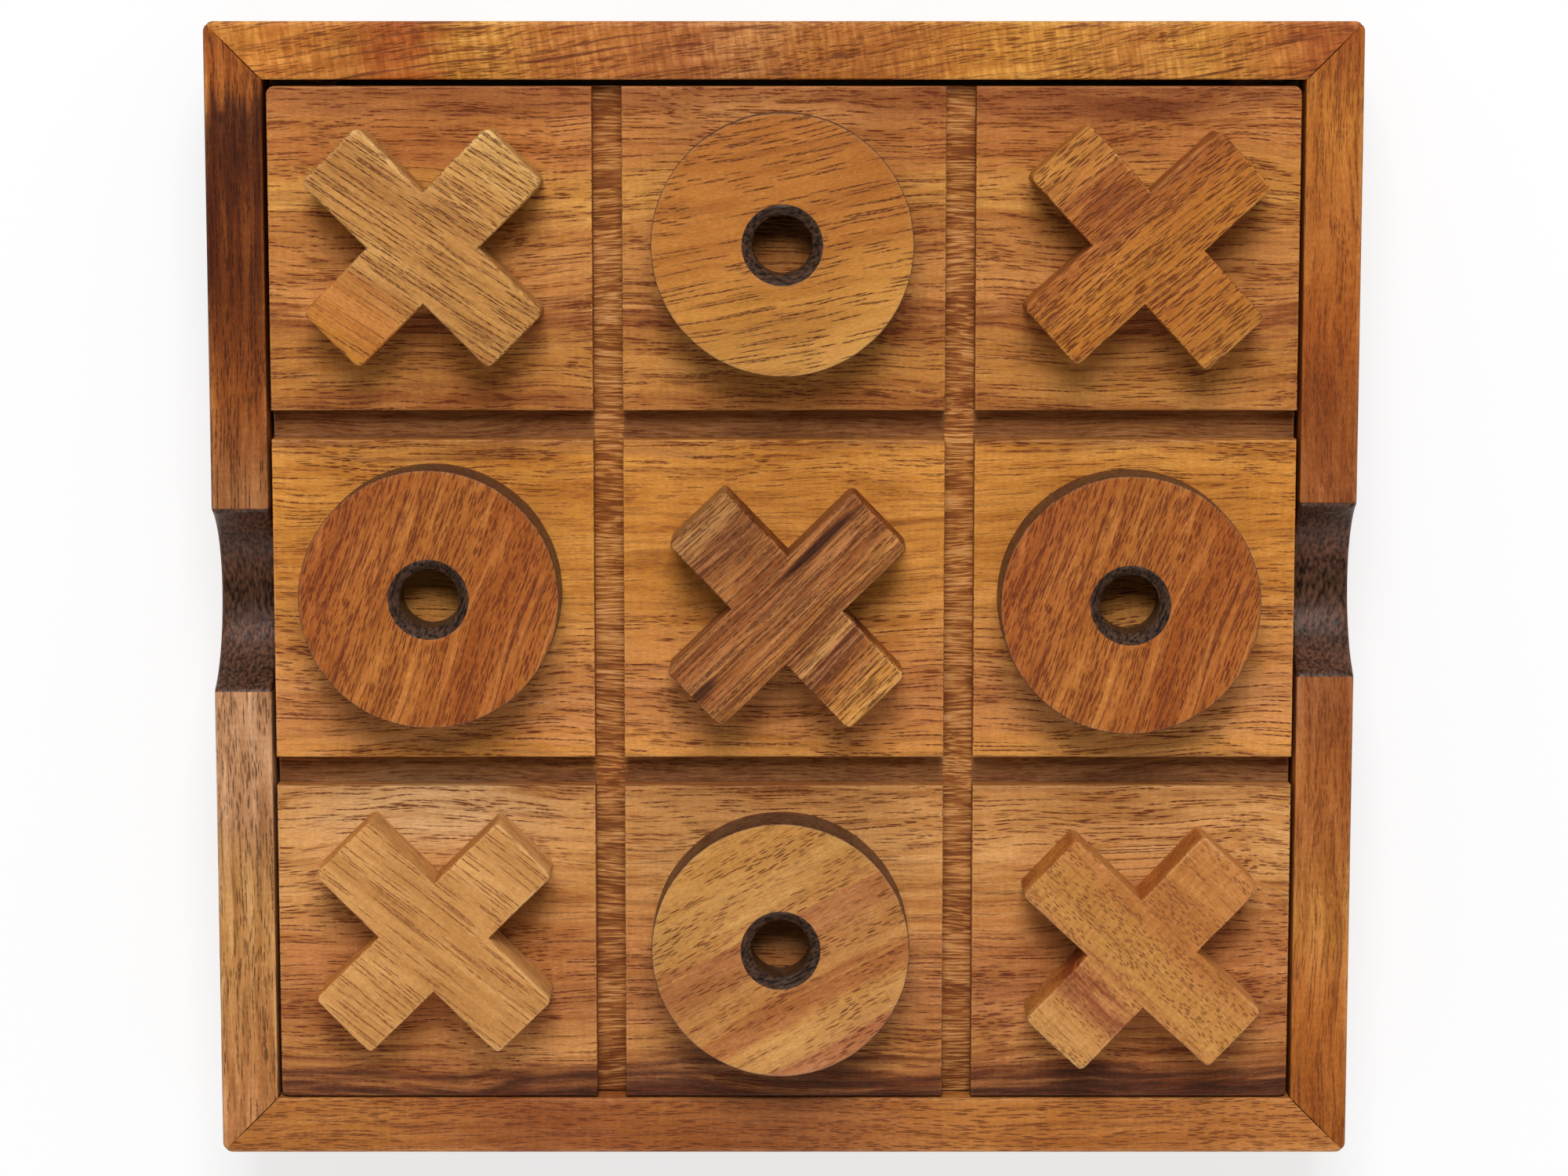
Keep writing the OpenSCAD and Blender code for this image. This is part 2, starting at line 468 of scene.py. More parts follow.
    def _bands(self) -> Socket:
        """Lays the growth bands' colours, feathered along the fibres.

        Returns:
            The wood's colour.
        """
        bands = self.plank.bands
        lean = math.radians(self.plank.band_turn)
        across = {0: self.fibre, 1: (math.cos(lean), math.sin(lean), self.BAND_LEAN)}
        at = self.add("ShaderNodeVectorMath", across, out="Value", operation="DOT_PRODUCT")
        low, high = bands[0][0], bands[-1][0]
        blur = min(self.FEATHER_MM, self.FEATHER_MOST * (high - low))
        at = self.add("ShaderNodeMath", {0: self.streak, 1: blur, 2: at}, operation="MULTIPLY_ADD")
        share = self.add("ShaderNodeMapRange", {0: at, 1: low + blur / 2, 2: high + blur / 2})
        stops = [((mm - low) / (high - low), linear(code)) for mm, code in bands]
        return self.add("ShaderNodeValToRGB", {"Fac": share}, stops=stops)

    def _patched(self, colour: Socket) -> tuple[Socket, Socket | float]:
        """Lays the clouds of other colours, feathered by the streaks.

        Args:
            colour: The wood's colour.

        Returns:
            The colour, and the share of the cut vessels that is left.
        """
        left: Socket | float = 1.0
        start, end = self.PATCH_EDGE
        for patch in self.plank.patches:
            middle = {0: self.fibre, 1: (patch.along, patch.across, 0.0)}
            off = self.add("ShaderNodeVectorMath", middle, operation="SUBTRACT")
            size = {0: off, 1: (1 / patch.length, 1 / patch.width, 0.0)}
            off = self.add("ShaderNodeVectorMath", size, operation="MULTIPLY")
            far = self.add("ShaderNodeVectorMath", {0: off}, out="Value", operation="LENGTH")
            feathered = {0: self.streak, 1: self.PATCH_FEATHER, 2: far}
            far = self.add("ShaderNodeMath", feathered, operation="MULTIPLY_ADD")
            fading = {0: far, 1: start, 2: end}
            share = self.add("ShaderNodeMapRange", fading, interpolation_type="SMOOTHSTEP")
            colour = self._stained(colour, share, patch.strength, patch.colour)
            if patch.calm:
                kept = self.add("ShaderNodeMapRange", {0: share, 3: 1.0, 4: 1 - patch.calm})
                left = self.add("ShaderNodeMath", {0: left, 1: kept}, operation="MULTIPLY")
        return colour, left

    def _toned(self, colour: Socket, parts: Sequence[tuple[Socket, float]]) -> Socket:
        """Varies how much of its own dye the wood holds, and with it how bright it is.

        More dye makes a place darker and redder, as a power of its colour does, and less makes
        it paler and more golden.

        Args:
            colour: The wood's colour.
            parts: Patterns that are 1 where the wood is pale, each with its reach.

        Returns:
            The varied colour.
        """
        pale: Socket | float = -sum(reach for _, reach in parts) / 2
        for pattern, reach in parts:
            more = {0: pattern, 1: reach, 2: pale}
            pale = self.add("ShaderNodeMath", more, operation="MULTIPLY_ADD")
        dye = {0: pale, 1: self.DYE_SHARE, 2: self.OILED}
        power = self.add("ShaderNodeMath", dye, operation="MULTIPLY_ADD")
        colour = self.add("ShaderNodeGamma", {"Color": colour, "Gamma": power})
        bright = self.add("ShaderNodeMath", {0: self.LIGHT_BASE, 1: pale}, operation="POWER")
        return self.add("ShaderNodeVectorMath", {0: colour, "Scale": bright}, operation="SCALE")

    def _stained(
        self, colour: Socket, where: Socket, strength: float, stain: str | Socket
    ) -> Socket:
        """Lays another colour over the wood.

        Args:
            colour: The wood's colour.
            where: A value that is 1 where the other colour lies.
            strength: The most of it that shows.
            stain: The other colour, as a hex code or a socket.

        Returns:
            The mixed colour.
        """
        share = self.add("ShaderNodeMath", {0: where, 1: strength}, operation="MULTIPLY")
        other = linear(stain) if isinstance(stain, str) else stain
        mix = {"Factor": share, "A": colour, "B": other}
        return self.add("ShaderNodeMix", mix, data_type="RGBA")

    def _end_grain(self, colour: Socket) -> Socket:
        """Darkens end grain.

        Args:
            colour: The wood's colour.

        Returns:
            The colour, darker where a face cuts across the fibres.
        """
        normal = self.add("ShaderNodeTexCoord", out="Normal")
        turn = math.radians(self.plank.fibre_turn)
        facing = {0: normal, 1: (math.cos(turn), math.sin(turn), 0.0)}
        ends = self.add("ShaderNodeVectorMath", facing, out="Value", operation="DOT_PRODUCT")
        ends = self.add("ShaderNodeMath", {0: ends, 1: ends}, operation="MULTIPLY")
        darker = {0: ends, 1: self.END_START, 2: 1.0, 3: 1.0, 4: self.END_GRAIN}
        power = self.add("ShaderNodeMapRange", darker)
        return self.add("ShaderNodeGamma", {"Color": colour, "Gamma": power})

    def _surface(self) -> None:
        """Adds what the tools left, some of it painted light, and then the oiled surface itself."""
        gloss = {0: self.cuts, 1: self.VESSEL_ROUGH, 2: self.plank.rough}
        self.gloss = self.add("ShaderNodeMath", gloss, operation="MULTIPLY_ADD")
        self.height: Socket | float = 0.0
        self._raise(self.fine, self.FIBRE_RISE)
        self._raise(self.cuts, self.VESSEL_RISE)
        for mark, work in (
            (Mark.EASED, self._ease),
            (Mark.ROUTED, self._rout),
            (Mark.SCORCHED, self._scorch),
        ):
            if mark in self.plank.marks:
                work(self.add("ShaderNodeAttribute", out="Fac", attribute_name=mark.value))
        relief = {
            "Height": self.height,
            "Distance": self.BUMP_MM * MM,
            "Strength": self.BUMP_STRENGTH,
        }
        skin = {
            "Base Color": self.colour,
            "Roughness": self.gloss,
            "Normal": self.add("ShaderNodeBump", relief),
            "IOR": self.IOR,
            "Specular IOR Level": self.MIRROR,
        }
        shader = self.add("ShaderNodeBsdfPrincipled", skin)
        output = self.tree.nodes.new("ShaderNodeOutputMaterial")
        self.tree.links.new(shader, output.inputs["Surface"])

    def _raise(self, pattern: Socket, rise: float) -> None:
        """Adds a pattern to the surface's height."""
        higher = {0: pattern, 1: rise, 2: self.height}
        self.height = self.add("ShaderNodeMath", higher, operation="MULTIPLY_ADD")

    def _ease(self, eased: Socket) -> None:
        """Pales the eased edges: partly rubbed by sanding and hands, partly a painted highlight."""
        power = self.add("ShaderNodeMapRange", {0: eased, 3: 1.0, 4: self.WORN})
        self.colour = self.add("ShaderNodeGamma", {"Color": self.colour, "Gamma": power})

    def _rout(self, routed: Socket) -> None:
        """Tears up the floors of the grooves, which shows raw tufts between crushed fibres.

        Args:
            routed: The mark, which is 1 where the cutter ran across the fibres.
        """
        torn = self._cloudy(self.TORN)
        mix = {"Factor": self.STRETCH_SHARE, "A": torn, "B": self._cloudy(self.STRETCHES)}
        uneven = self.add("ShaderNodeMix", mix, data_type="FLOAT")
        self.colour = self._stained(self.colour, routed, self.CUT_SHARE, self.CUT_WOOD)
        for start, end, stain in (self.TUFTS, self.CRUSHED):
            there = self.add("ShaderNodeMapRange", {0: uneven, 1: start, 2: end})
            there = self.add("ShaderNodeMath", {0: there, 1: routed}, operation="MULTIPLY")
            self.colour = self._stained(self.colour, there, self.TORN_SHARE, stain)
        duller = {0: routed, 1: self.ROUTED_ROUGH, 2: self.gloss}
        self.gloss = self.add("ShaderNodeMath", duller, operation="MULTIPLY_ADD")
        tufts = self.add("ShaderNodeMath", {0: torn, 1: routed}, operation="MULTIPLY")
        self._raise(tufts, self.TUFT_RISE)

    def _scorch(self, scorched: Socket) -> None:
        """Burns the wood to a smooth brown to black skin, and lays painted shade and sheen.

        Args:
            scorched: The mark, which is 1 where the wood is charred.
        """
        flecks = self._cloudy(self.CHAR)
        for start, end, dark, pale in (self.BROWNED, self.CHARRED):
            depth = self.add("ShaderNodeMapRange", {0: scorched, 1: start, 2: end})
            shades = {"Factor": flecks, "A": linear(dark), "B": linear(pale)}
            burn = self.add("ShaderNodeMix", shades, data_type="RGBA")
            self.colour = self._stained(self.colour, depth, 1.0, burn)
        smoother = {0: scorched, 1: self.CHAR_ROUGH, 2: self.gloss}
        self.gloss = self.add("ShaderNodeMath", smoother, operation="MULTIPLY_ADD")
        keep = self.add("ShaderNodeMapRange", {0: scorched, 3: 1.0, 4: self.CHAR_KEEPS})
        flatter = {0: self.height, 1: keep}
        self.height = self.add("ShaderNodeMath", flatter, operation="MULTIPLY")


class Blank:
    """A piece of wood as it is cut: points, faces and marks, in mm about its own origin."""

    # Points this near in mm are one point, and faces thinner than this are dropped.
    WELD, SLIVER = 0.002, 0.001

    def __init__(self, name: str) -> None:
        """Starts an empty blank.

        Args:
            name: The piece's name.
        """
        self.name = name
        self.mesh = bmesh.new()
        self.layers = {mark: self.mesh.verts.layers.float.new(mark.value) for mark in Mark}

    def grid(
        self, points: np.ndarray, marks: dict[Mark, np.ndarray], wrap: bool = False
    ) -> np.ndarray:
        """Adds a sheet of four-sided faces.

        Args:
            points: Rows by columns by three places in mm.
            marks: For each mark in use, rows by columns of values.
            wrap: Whether each row closes on itself.

        Returns:
            Rows by columns of the new points.
        """
        rows, columns = points.shape[:2]
        made = np.empty((rows, columns), dtype=object)
        for r in range(rows):
            for c in range(columns):
                vert = self.mesh.verts.new(points[r, c] * MM)
                for mark, values in marks.items():
                    vert[self.layers[mark]] = float(values[r, c])
                made[r, c] = vert
        for r in range(rows - 1):
            self.strip(made[r], made[r + 1], wrap)
        return made

    def strip(
        self,
        here: Sequence[bmesh.types.BMVert],
        there: Sequence[bmesh.types.BMVert],
        wrap: bool,
    ) -> None:
        """Adds the faces between two rows of points.

        Args:
            here: The first row.
            there: The next row, with as many points.
            wrap: Whether the rows close on themselves.
        """
        for c in range(len(here) if wrap else len(here) - 1):
            n = (c + 1) % len(here)
            self.mesh.faces.new((here[c], here[n], there[n], there[c]))

    def cap(self, loop: Sequence[bmesh.types.BMVert]) -> None:
        """Closes a loop of points with one flat face."""
        self.mesh.faces.new(loop)

    def finish(self, at: Vector, turn: float = 0.0, sharp: float = 38.0) -> bpy.types.Object:
        """Cleans the mesh and makes the piece.

        Args:
            at: Where the blank's origin goes, in metres.
            turn: Its turn about the upright axis, in degrees.
            sharp: Edges that turn by more degrees than this stay crisp.

        Returns:
            The piece.
        """
        mesh = self.mesh
        bmesh.ops.remove_doubles(mesh, verts=mesh.verts, dist=self.WELD * MM)
        bmesh.ops.dissolve_degenerate(mesh, edges=mesh.edges, dist=self.SLIVER * MM)
        bmesh.ops.recalc_face_normals(mesh, faces=mesh.faces)
        data = bpy.data.meshes.new(self.name)
        mesh.to_mesh(data)
        mesh.free()
        data.shade_smooth()
        data.set_sharp_from_angle(angle=math.radians(sharp))
        piece = bpy.data.objects.new(self.name, data)
        bpy.context.scene.collection.objects.link(piece)
        piece.matrix_world = Matrix.Translation(at) @ Matrix.Rotation(math.radians(turn), 4, "Z")
        return piece


def seat(
    piece: bpy.types.Object, body: str, slot: str, node: str, materials: dict[str, Material]
) -> None:
    """Dresses a piece and ties it to the frame.

    Args:
        piece: The new piece.
        body: The body that it moves with.
        slot: The record's material slot.
        node: The CAD node that it stands for.
        materials: The finishes by slot.
    """
    piece.data.materials.append(materials[slot])
    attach(piece, body)
    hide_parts(node)
    log.info("%s stands for %s on %s: %d faces", piece.name, node, body, len(piece.data.polygons))


def place_of(node: str) -> tuple[Vector, np.ndarray]:
    """Measures a CAD node.

    Args:
        node: The node's name.

    Returns:
        The middle of its underside in metres, and its size in mm.
    """
    low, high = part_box(node)
    size = np.array([(end - start) / MM for start, end in zip(low, high)])
    return Vector(((low.x + high.x) / 2, (low.y + high.y) / 2, low.z)), size


def rounding(radius: float, steps: int) -> list[tuple[float, float]]:
    """Gives a quarter round from a wall to a top.

    Args:
        radius: Its radius in mm.
        steps: How many stretches it has.

    Returns:
        Pairs of how far a point lies in from the wall and down from the top.
    """
    turns = [math.pi / 2 * i / steps for i in range(steps + 1)]
    return [(radius * (1 - math.cos(t)), radius * (1 - math.sin(t))) for t in turns]


def unevenness(x: float, y: float, z: float, seed: int, size: float) -> float:
    """Gives a smooth random value from about -1 to 1.

    Args:
        x: Place in mm.
        y: Place in mm.
        z: Place in mm.
        seed: Chooses the pattern.
        size: Size of its bumps in mm.

    Returns:
        The value.
    """
    across, back = SEED_SHIFT
    return noise.noise(Vector((x / size + across * seed, y / size - back * seed, z / size)))


@dataclass
class Outline:
    """A closed outline seen from above, and which way it is cut back.

    Attributes:
        points: Places in mm, in order round the outline.
        outward: At each point, the move that widens the outline by 1 mm.
        corner: Radius of its convex corners, and the most that it can be cut back.
    """

    points: np.ndarray
    outward: np.ndarray
    corner: float

    # The directions in degrees of the five points that round off a corner.
    CORNER_TURNS = (0, 22.5, 45, 67.5, 90)

    @classmethod
    def circle(cls, radius: float, count: int) -> "Outline":
        """Makes a round outline.

        Args:
            radius: Its radius.
            count: How many points it has.

        Returns:
            The outline.
        """
        turns = np.linspace(0, 2 * math.pi, count, endpoint=False)
        out = np.stack([np.cos(turns), np.sin(turns)], axis=1)
        return cls(out * radius, out, radius)

    @classmethod
    def cross(cls, length: float, width: float, corner: float, step: float) -> "Outline":
        """Makes a cross of two equal bars.

        Args:
            length: Length of the bars.
            width: Width of the bars.
            corner: Radius of the eight outer corners.
            step: Longest stretch between points.

        Returns:
            The outline.
        """
        points: list[tuple[float, float]] = []
        outward: list[tuple[float, float]] = []
        for quarter in range(4):
            angle = quarter * math.pi / 2
            c, s = math.cos(angle), math.sin(angle)
            for (x, y), (u, v) in cls._arm(length / 2, width / 2, corner, step):
                points.append((c * x - s * y, s * x + c * y))
                outward.append((c * u - s * v, s * u + c * v))
        return cls(np.array(points), np.array(outward), corner)

    @classmethod
    def _arm(
        cls, tip: float, half: float, corner: float, step: float
    ) -> list[tuple[tuple[float, float], tuple[float, float]]]:
        """Lists the points of the cross's arm along +X, up to the inner corner after it.

        Args:
            tip: Distance of its end from the cross's middle.
            half: Half its width.
            corner: Radius of its two outer corners.
            step: Longest stretch between points.

        Returns:
            For each point, its place and its outward move.
        """
        made = []
        side = int((tip - corner - half) / step)
        end = int((2 * half - 2 * corner) / step)
        for i in range(1, side + 1):
            x = half + (tip - corner - half) * i / (side + 1)
            made.append(((x, -half), (0.0, -1.0)))
        for sign, first in ((-1, -90), (1, 0)):
            for degrees in cls.CORNER_TURNS:
                a = math.radians(first + degrees)
                x, y = tip - corner, sign * (half - corner)
                u, v = math.cos(a), math.sin(a)
                made.append(((x + corner * u, y + corner * v), (u, v)))
            if sign < 0:
                for i in range(1, end + 1):
                    y = (half - corner) * (2 * i / (end + 1) - 1)
                    made.append(((tip, y), (1.0, 0.0)))
        for i in range(1, side + 1):
            x = tip - corner - (tip - corner - half) * i / (side + 1)
            made.append(((x, half), (0.0, 1.0)))
        made.append(((half, half), (1.0, 1.0)))
        return made

    @classmethod
    def rectangle(cls, width: float, depth: float, corner: float) -> "Outline":
        """Makes a rectangle with round corners.

        Args:
            width: Its size along X.
            depth: Its size along Y.
            corner: Radius of its corners.

        Returns:
            The outline.
        """
        points, outward = [], []
        for i, (sx, sy) in enumerate(((1, 1), (-1, 1), (-1, -1), (1, -1))):
            for degrees in cls.CORNER_TURNS:
                a = math.radians(90 * i + degrees)
                u, v = math.cos(a), math.sin(a)
                x, y = sx * (width / 2 - corner), sy * (depth / 2 - corner)
                points.append((x + corner * u, y + corner * v))
                outward.append((u, v))
        return cls(np.array(points), np.array(outward), corner)


@dataclass
class Slab:
    """A slab of even thickness whose long edges are sanded by hand.

    Attributes:
        outline: Its outline, about the middle of its underside.
        height: Its thickness.
        ease: Radius of its sanded edges.
        seed: Chooses how uneven the sanding and the paled edges, rubbed and highlit, are.
    """

    outline: Outline
    height: float
    ease: float
    seed: int

    # Hand sanding varies by so much of the radius, over so many mm. The edges' paling, partly
    # wear and partly a painted highlight, has a share that varies by so much, over so many mm.
    SLOW, SLOW_MM = 0.35, 5
    QUICK, QUICK_MM = 0.2, 1.3
    WEAR, WEAR_SPREAD, WEAR_MM = 0.45, 1.1, 12
    ROUND_STEPS, WALL_STEPS = 4, 3
    # Width of the flat strip beside a sanded edge, and the most of a corner's radius it takes.
    FLAT_RIM, CORNER_MOST = 0.5, 0.97

    def cut(self, blank: Blank) -> None:
        """Cuts the slab out of a blank.

        Args:
            blank: The wood.
        """
        outline = self.outline
        rims = np.array([self._rim(x, y) for x, y in outline.points])
        wear = np.array([self._wear(x, y) for x, y in outline.points])
        flat_rim = np.minimum(rims + self.FLAT_RIM, self.CORNER_MOST * outline.corner)
        curve = rounding(1.0, self.ROUND_STEPS)
        flat = np.zeros(len(outline.points))
        levels = [(flat_rim, flat, 0.0)]
        for i, (cut, drop) in enumerate(reversed(curve)):
            levels.append((rims * cut, flat + rims * drop, 0.0 if i == 0 else 1.0))
        for i in range(1, self.WALL_STEPS):
            levels.append((flat, rims + (self.height - 2 * rims) * i / self.WALL_STEPS, 0.0))
        for i, (cut, drop) in enumerate(curve):
            worn = 0.0 if i == self.ROUND_STEPS else 1.0
            levels.append((rims * cut, self.height - rims * drop, worn))
        levels.append((flat_rim, flat + self.height, 0.0))
        rows = [
            np.column_stack([outline.points - outline.outward * cut[:, None], z])
            for cut, z, _ in levels
        ]
        # The rounded rows' paling is partly wear and partly a painted highlight.
        eased = np.outer([worn for _, _, worn in levels], wear)
        made = blank.grid(np.array(rows), {Mark.EASED: eased}, wrap=True)
        blank.cap(list(made[0][::-1]))
        blank.cap(list(made[-1]))

    def _rim(self, x: float, y: float) -> float:
        """Gives the sanded edge's radius at a point of the outline.

        Args:
            x: The point's place.
            y: The point's place.

        Returns:
            The radius in mm.
        """
        slow = self.SLOW * unevenness(x, y, 0, self.seed, self.SLOW_MM)
        quick = self.QUICK * unevenness(x, y, 9, self.seed, self.QUICK_MM)
        return self.ease * (1 + slow + quick)

    def _wear(self, x: float, y: float) -> float:
        """Gives how pale the edge is there, rubbed and painted highlight, from 0 to 1."""
        spread = self.WEAR_SPREAD * unevenness(x, y, 20, self.seed, self.WEAR_MM)
        return min(1.0, max(0.0, self.WEAR + spread))


@dataclass
class Ring:
    """A nought: a disc sawn with a hole saw, which chars its side, with a burnt countersunk hole.

    Attributes:
        node: The CAD node that it stands for.
        name: The piece's name.
        slot: The record's material slot.
        hole_dia: Diameter of the hole.
        sink: Width and depth of the countersinks.
        ease: Radius of the disc's rims.
        facets: Points round the disc.
        side_burn: How burnt its side is.
        rim_burns: How burnt its upper rim is, from the side to the face.
        seed: Chooses its unevenness.
    """

    node: str
    name: str
    slot: str
    hole_dia: float = 10.4
    sink: float = 1.7
    ease: float = 0.22
    facets: int = 192
    side_burn: float = 0.82
    rim_burns: tuple[float, ...] = (0.82, 0.7, 0.4, 0.1)
    seed: int = 1

    # The burn ends so far outside the hole's mouth, and the faces are flat from there on.
    BURN_END, FACE_START, FACE_END = 0.12, 0.8, 0.5
    # How far the top's countersink starts below the face, where its edge broke away.
    BROKEN = 0.04
    # How far in mm the saw strays at the side and at the hole, how long its waves are, and how
    # far it keeps inside its line, as a share of the stray.
    SIDE_STRAY, HOLE_STRAY, STRAY_MM, STRAY_INWARD = 0.06, 0.05, 4, 0.6
    # Over so many mm beside the side and the hole's mouth, the faces follow the saw.
    SIDE_NEAR, HOLE_NEAR = 2, 0.05

    def build(self, materials: dict[str, Material]) -> None:
        """Builds and dresses the disc.

        Args:
            materials: The finishes by slot.
        """
        at, size = place_of(self.node)
        outer = size[0] / 2
        profile = self._profile(outer, self.hole_dia / 2, size[2])
        blank = Blank(self.name)
        turn = Outline.circle(1.0, self.facets)
        points = np.empty((len(profile), self.facets, 3))
        for r, (radius, z, _, _) in enumerate(profile):
            points[r, :, :2] = turn.points * (radius + self._stray(radius, z, outer))[:, None]
            points[r, :, 2] = z
        spread = np.ones(self.facets)
        marks = {
            Mark.EASED: np.outer([eased for _, _, eased, _ in profile], spread),
            Mark.SCORCHED: np.outer([burnt for _, _, _, burnt in profile], spread),
        }
        made = blank.grid(points, marks, wrap=True)
        blank.strip(made[-1], made[0], wrap=True)
        seat(blank.finish(at, sharp=30), self.node, self.slot, self.node, materials)

    def _profile(
        self, outer: float, hole: float, height: float
    ) -> list[tuple[float, float, float, float]]:
        """Lists the disc's profile from the underside's inner rim round to its hole.

        Args:
            outer: Outer radius.
            hole: Radius of the hole.
            height: Thickness.

        Returns:
            Radius, height, and the eased and scorch marks, for each point.
        """
        ease, sink = self.ease, self.sink
        mouth = hole + sink
        face = (mouth + self.BURN_END, mouth + self.FACE_START, outer - ease - self.FACE_END)
        curve = rounding(ease, 3)
        made = [(mouth, 0.0, 0.0, 1.0)]
        made += [(radius, 0.0, 0.0, 0.0) for radius in face]
        for cut, drop in reversed(curve):
            made.append((outer - cut, drop, 0.0, 0.2 if drop == 0 else 0.6))
        for share in (0.25, 0.5, 0.75):
            made.append((outer, ease + share * (height - 2 * ease), 0.0, self.side_burn))
        for (cut, drop), burnt in zip(curve, self.rim_burns):
            # The upper rim is paled, partly as wear and partly as a painted highlight.
            made.append((outer - cut, height - drop, 0.5, burnt))
        made += [(radius, height, 0.0, 0.0) for radius in reversed(face)]
        lip = height - self.BROKEN
        for share in (0.0, 0.35, 0.7, 1.0):
            made.append((mouth - share * sink, lip - share * (sink - self.BROKEN), 0.0, 1.0))
        for share in (0.05, 0.35, 0.65, 0.95):
            made.append((hole, height - sink - share * (height - 2 * sink), 0.0, 1.0))
        for share in (0.0, 0.5):
            made.append((hole + share * sink, sink * (1 - share), 0.0, 1.0))
        return made

    def _stray(self, radius: float, z: float, outer: float) -> np.ndarray:
        """Gives how far the saw strayed at each point of a level.

        Args:
            radius: The level's radius.
            z: Its height.
            outer: The disc's outer radius.

        Returns:
            The moves outward in mm.
        """
        near_side = min(1.0, max(0.0, (radius - outer + self.SIDE_NEAR) / self.SIDE_NEAR))
        near_hole = 1.0 if radius < self.hole_dia / 2 + self.sink + self.HOLE_NEAR else 0.0
        reach = self.SIDE_STRAY * near_side + self.HOLE_STRAY * near_hole
        places = Outline.circle(radius, self.facets).points
        waves = [unevenness(x, y, z, self.seed, self.STRAY_MM) for x, y in places]
        return np.array([reach * (wave - self.STRAY_INWARD) for wave in waves])


@dataclass
class Cross:
    """A cross sawn from one plank, with sanded edges.

    Attributes:
        node: The CAD node that it stands for.
        name: The piece's name.
        slot: The record's material slot.
        turn: How far it is turned on its square, in degrees.
        length: Length of its two bars.
        bar: Width of its two bars.
        corner: Radius of its outer corners, seen from above.
        ease: Radius of its sanded edges.
        sawn: How far the saw strayed inside its lines, in mm.
        seed: Chooses its unevenness.
    """

    node: str
    name: str
    slot: str
    turn: float = 0.0
    length: float = 45.0
    bar: float = 13.7
    corner: float = 1.1
    ease: float = 0.5
    sawn: float = 0.1
    seed: int = 1

    # Its outline has a point at least every so many mm.
    STEP = 0.8
    # How long the saw's waves are in mm, how far it keeps inside its line as a share of the
    # stray, and what keeps its waves apart from the sanding's.
    STRAY_MM, STRAY_INWARD, STRAY_SEED = 9, 0.8, 40

    def build(self, materials: dict[str, Material]) -> None:
        """Builds and dresses the cross.

        Args:
            materials: The finishes by slot.
        """
        at, size = place_of(self.node)
        outline = Outline.cross(self.length, self.bar, self.corner, self.STEP)
        seed = self.seed + self.STRAY_SEED
        waves = [unevenness(x, y, 0, seed, self.STRAY_MM) for x, y in outline.points]
        stray = np.array([self.sawn * (wave - self.STRAY_INWARD) for wave in waves])
        outline.points += outline.outward * stray[:, None]
        outline.corner -= 2 * self.sawn
        blank = Blank(self.name)
        Slab(outline, size[2], self.ease, self.seed).cut(blank)
        piece = blank.finish(at, 45 + self.turn)
        seat(piece, self.node, self.slot, self.node, materials)


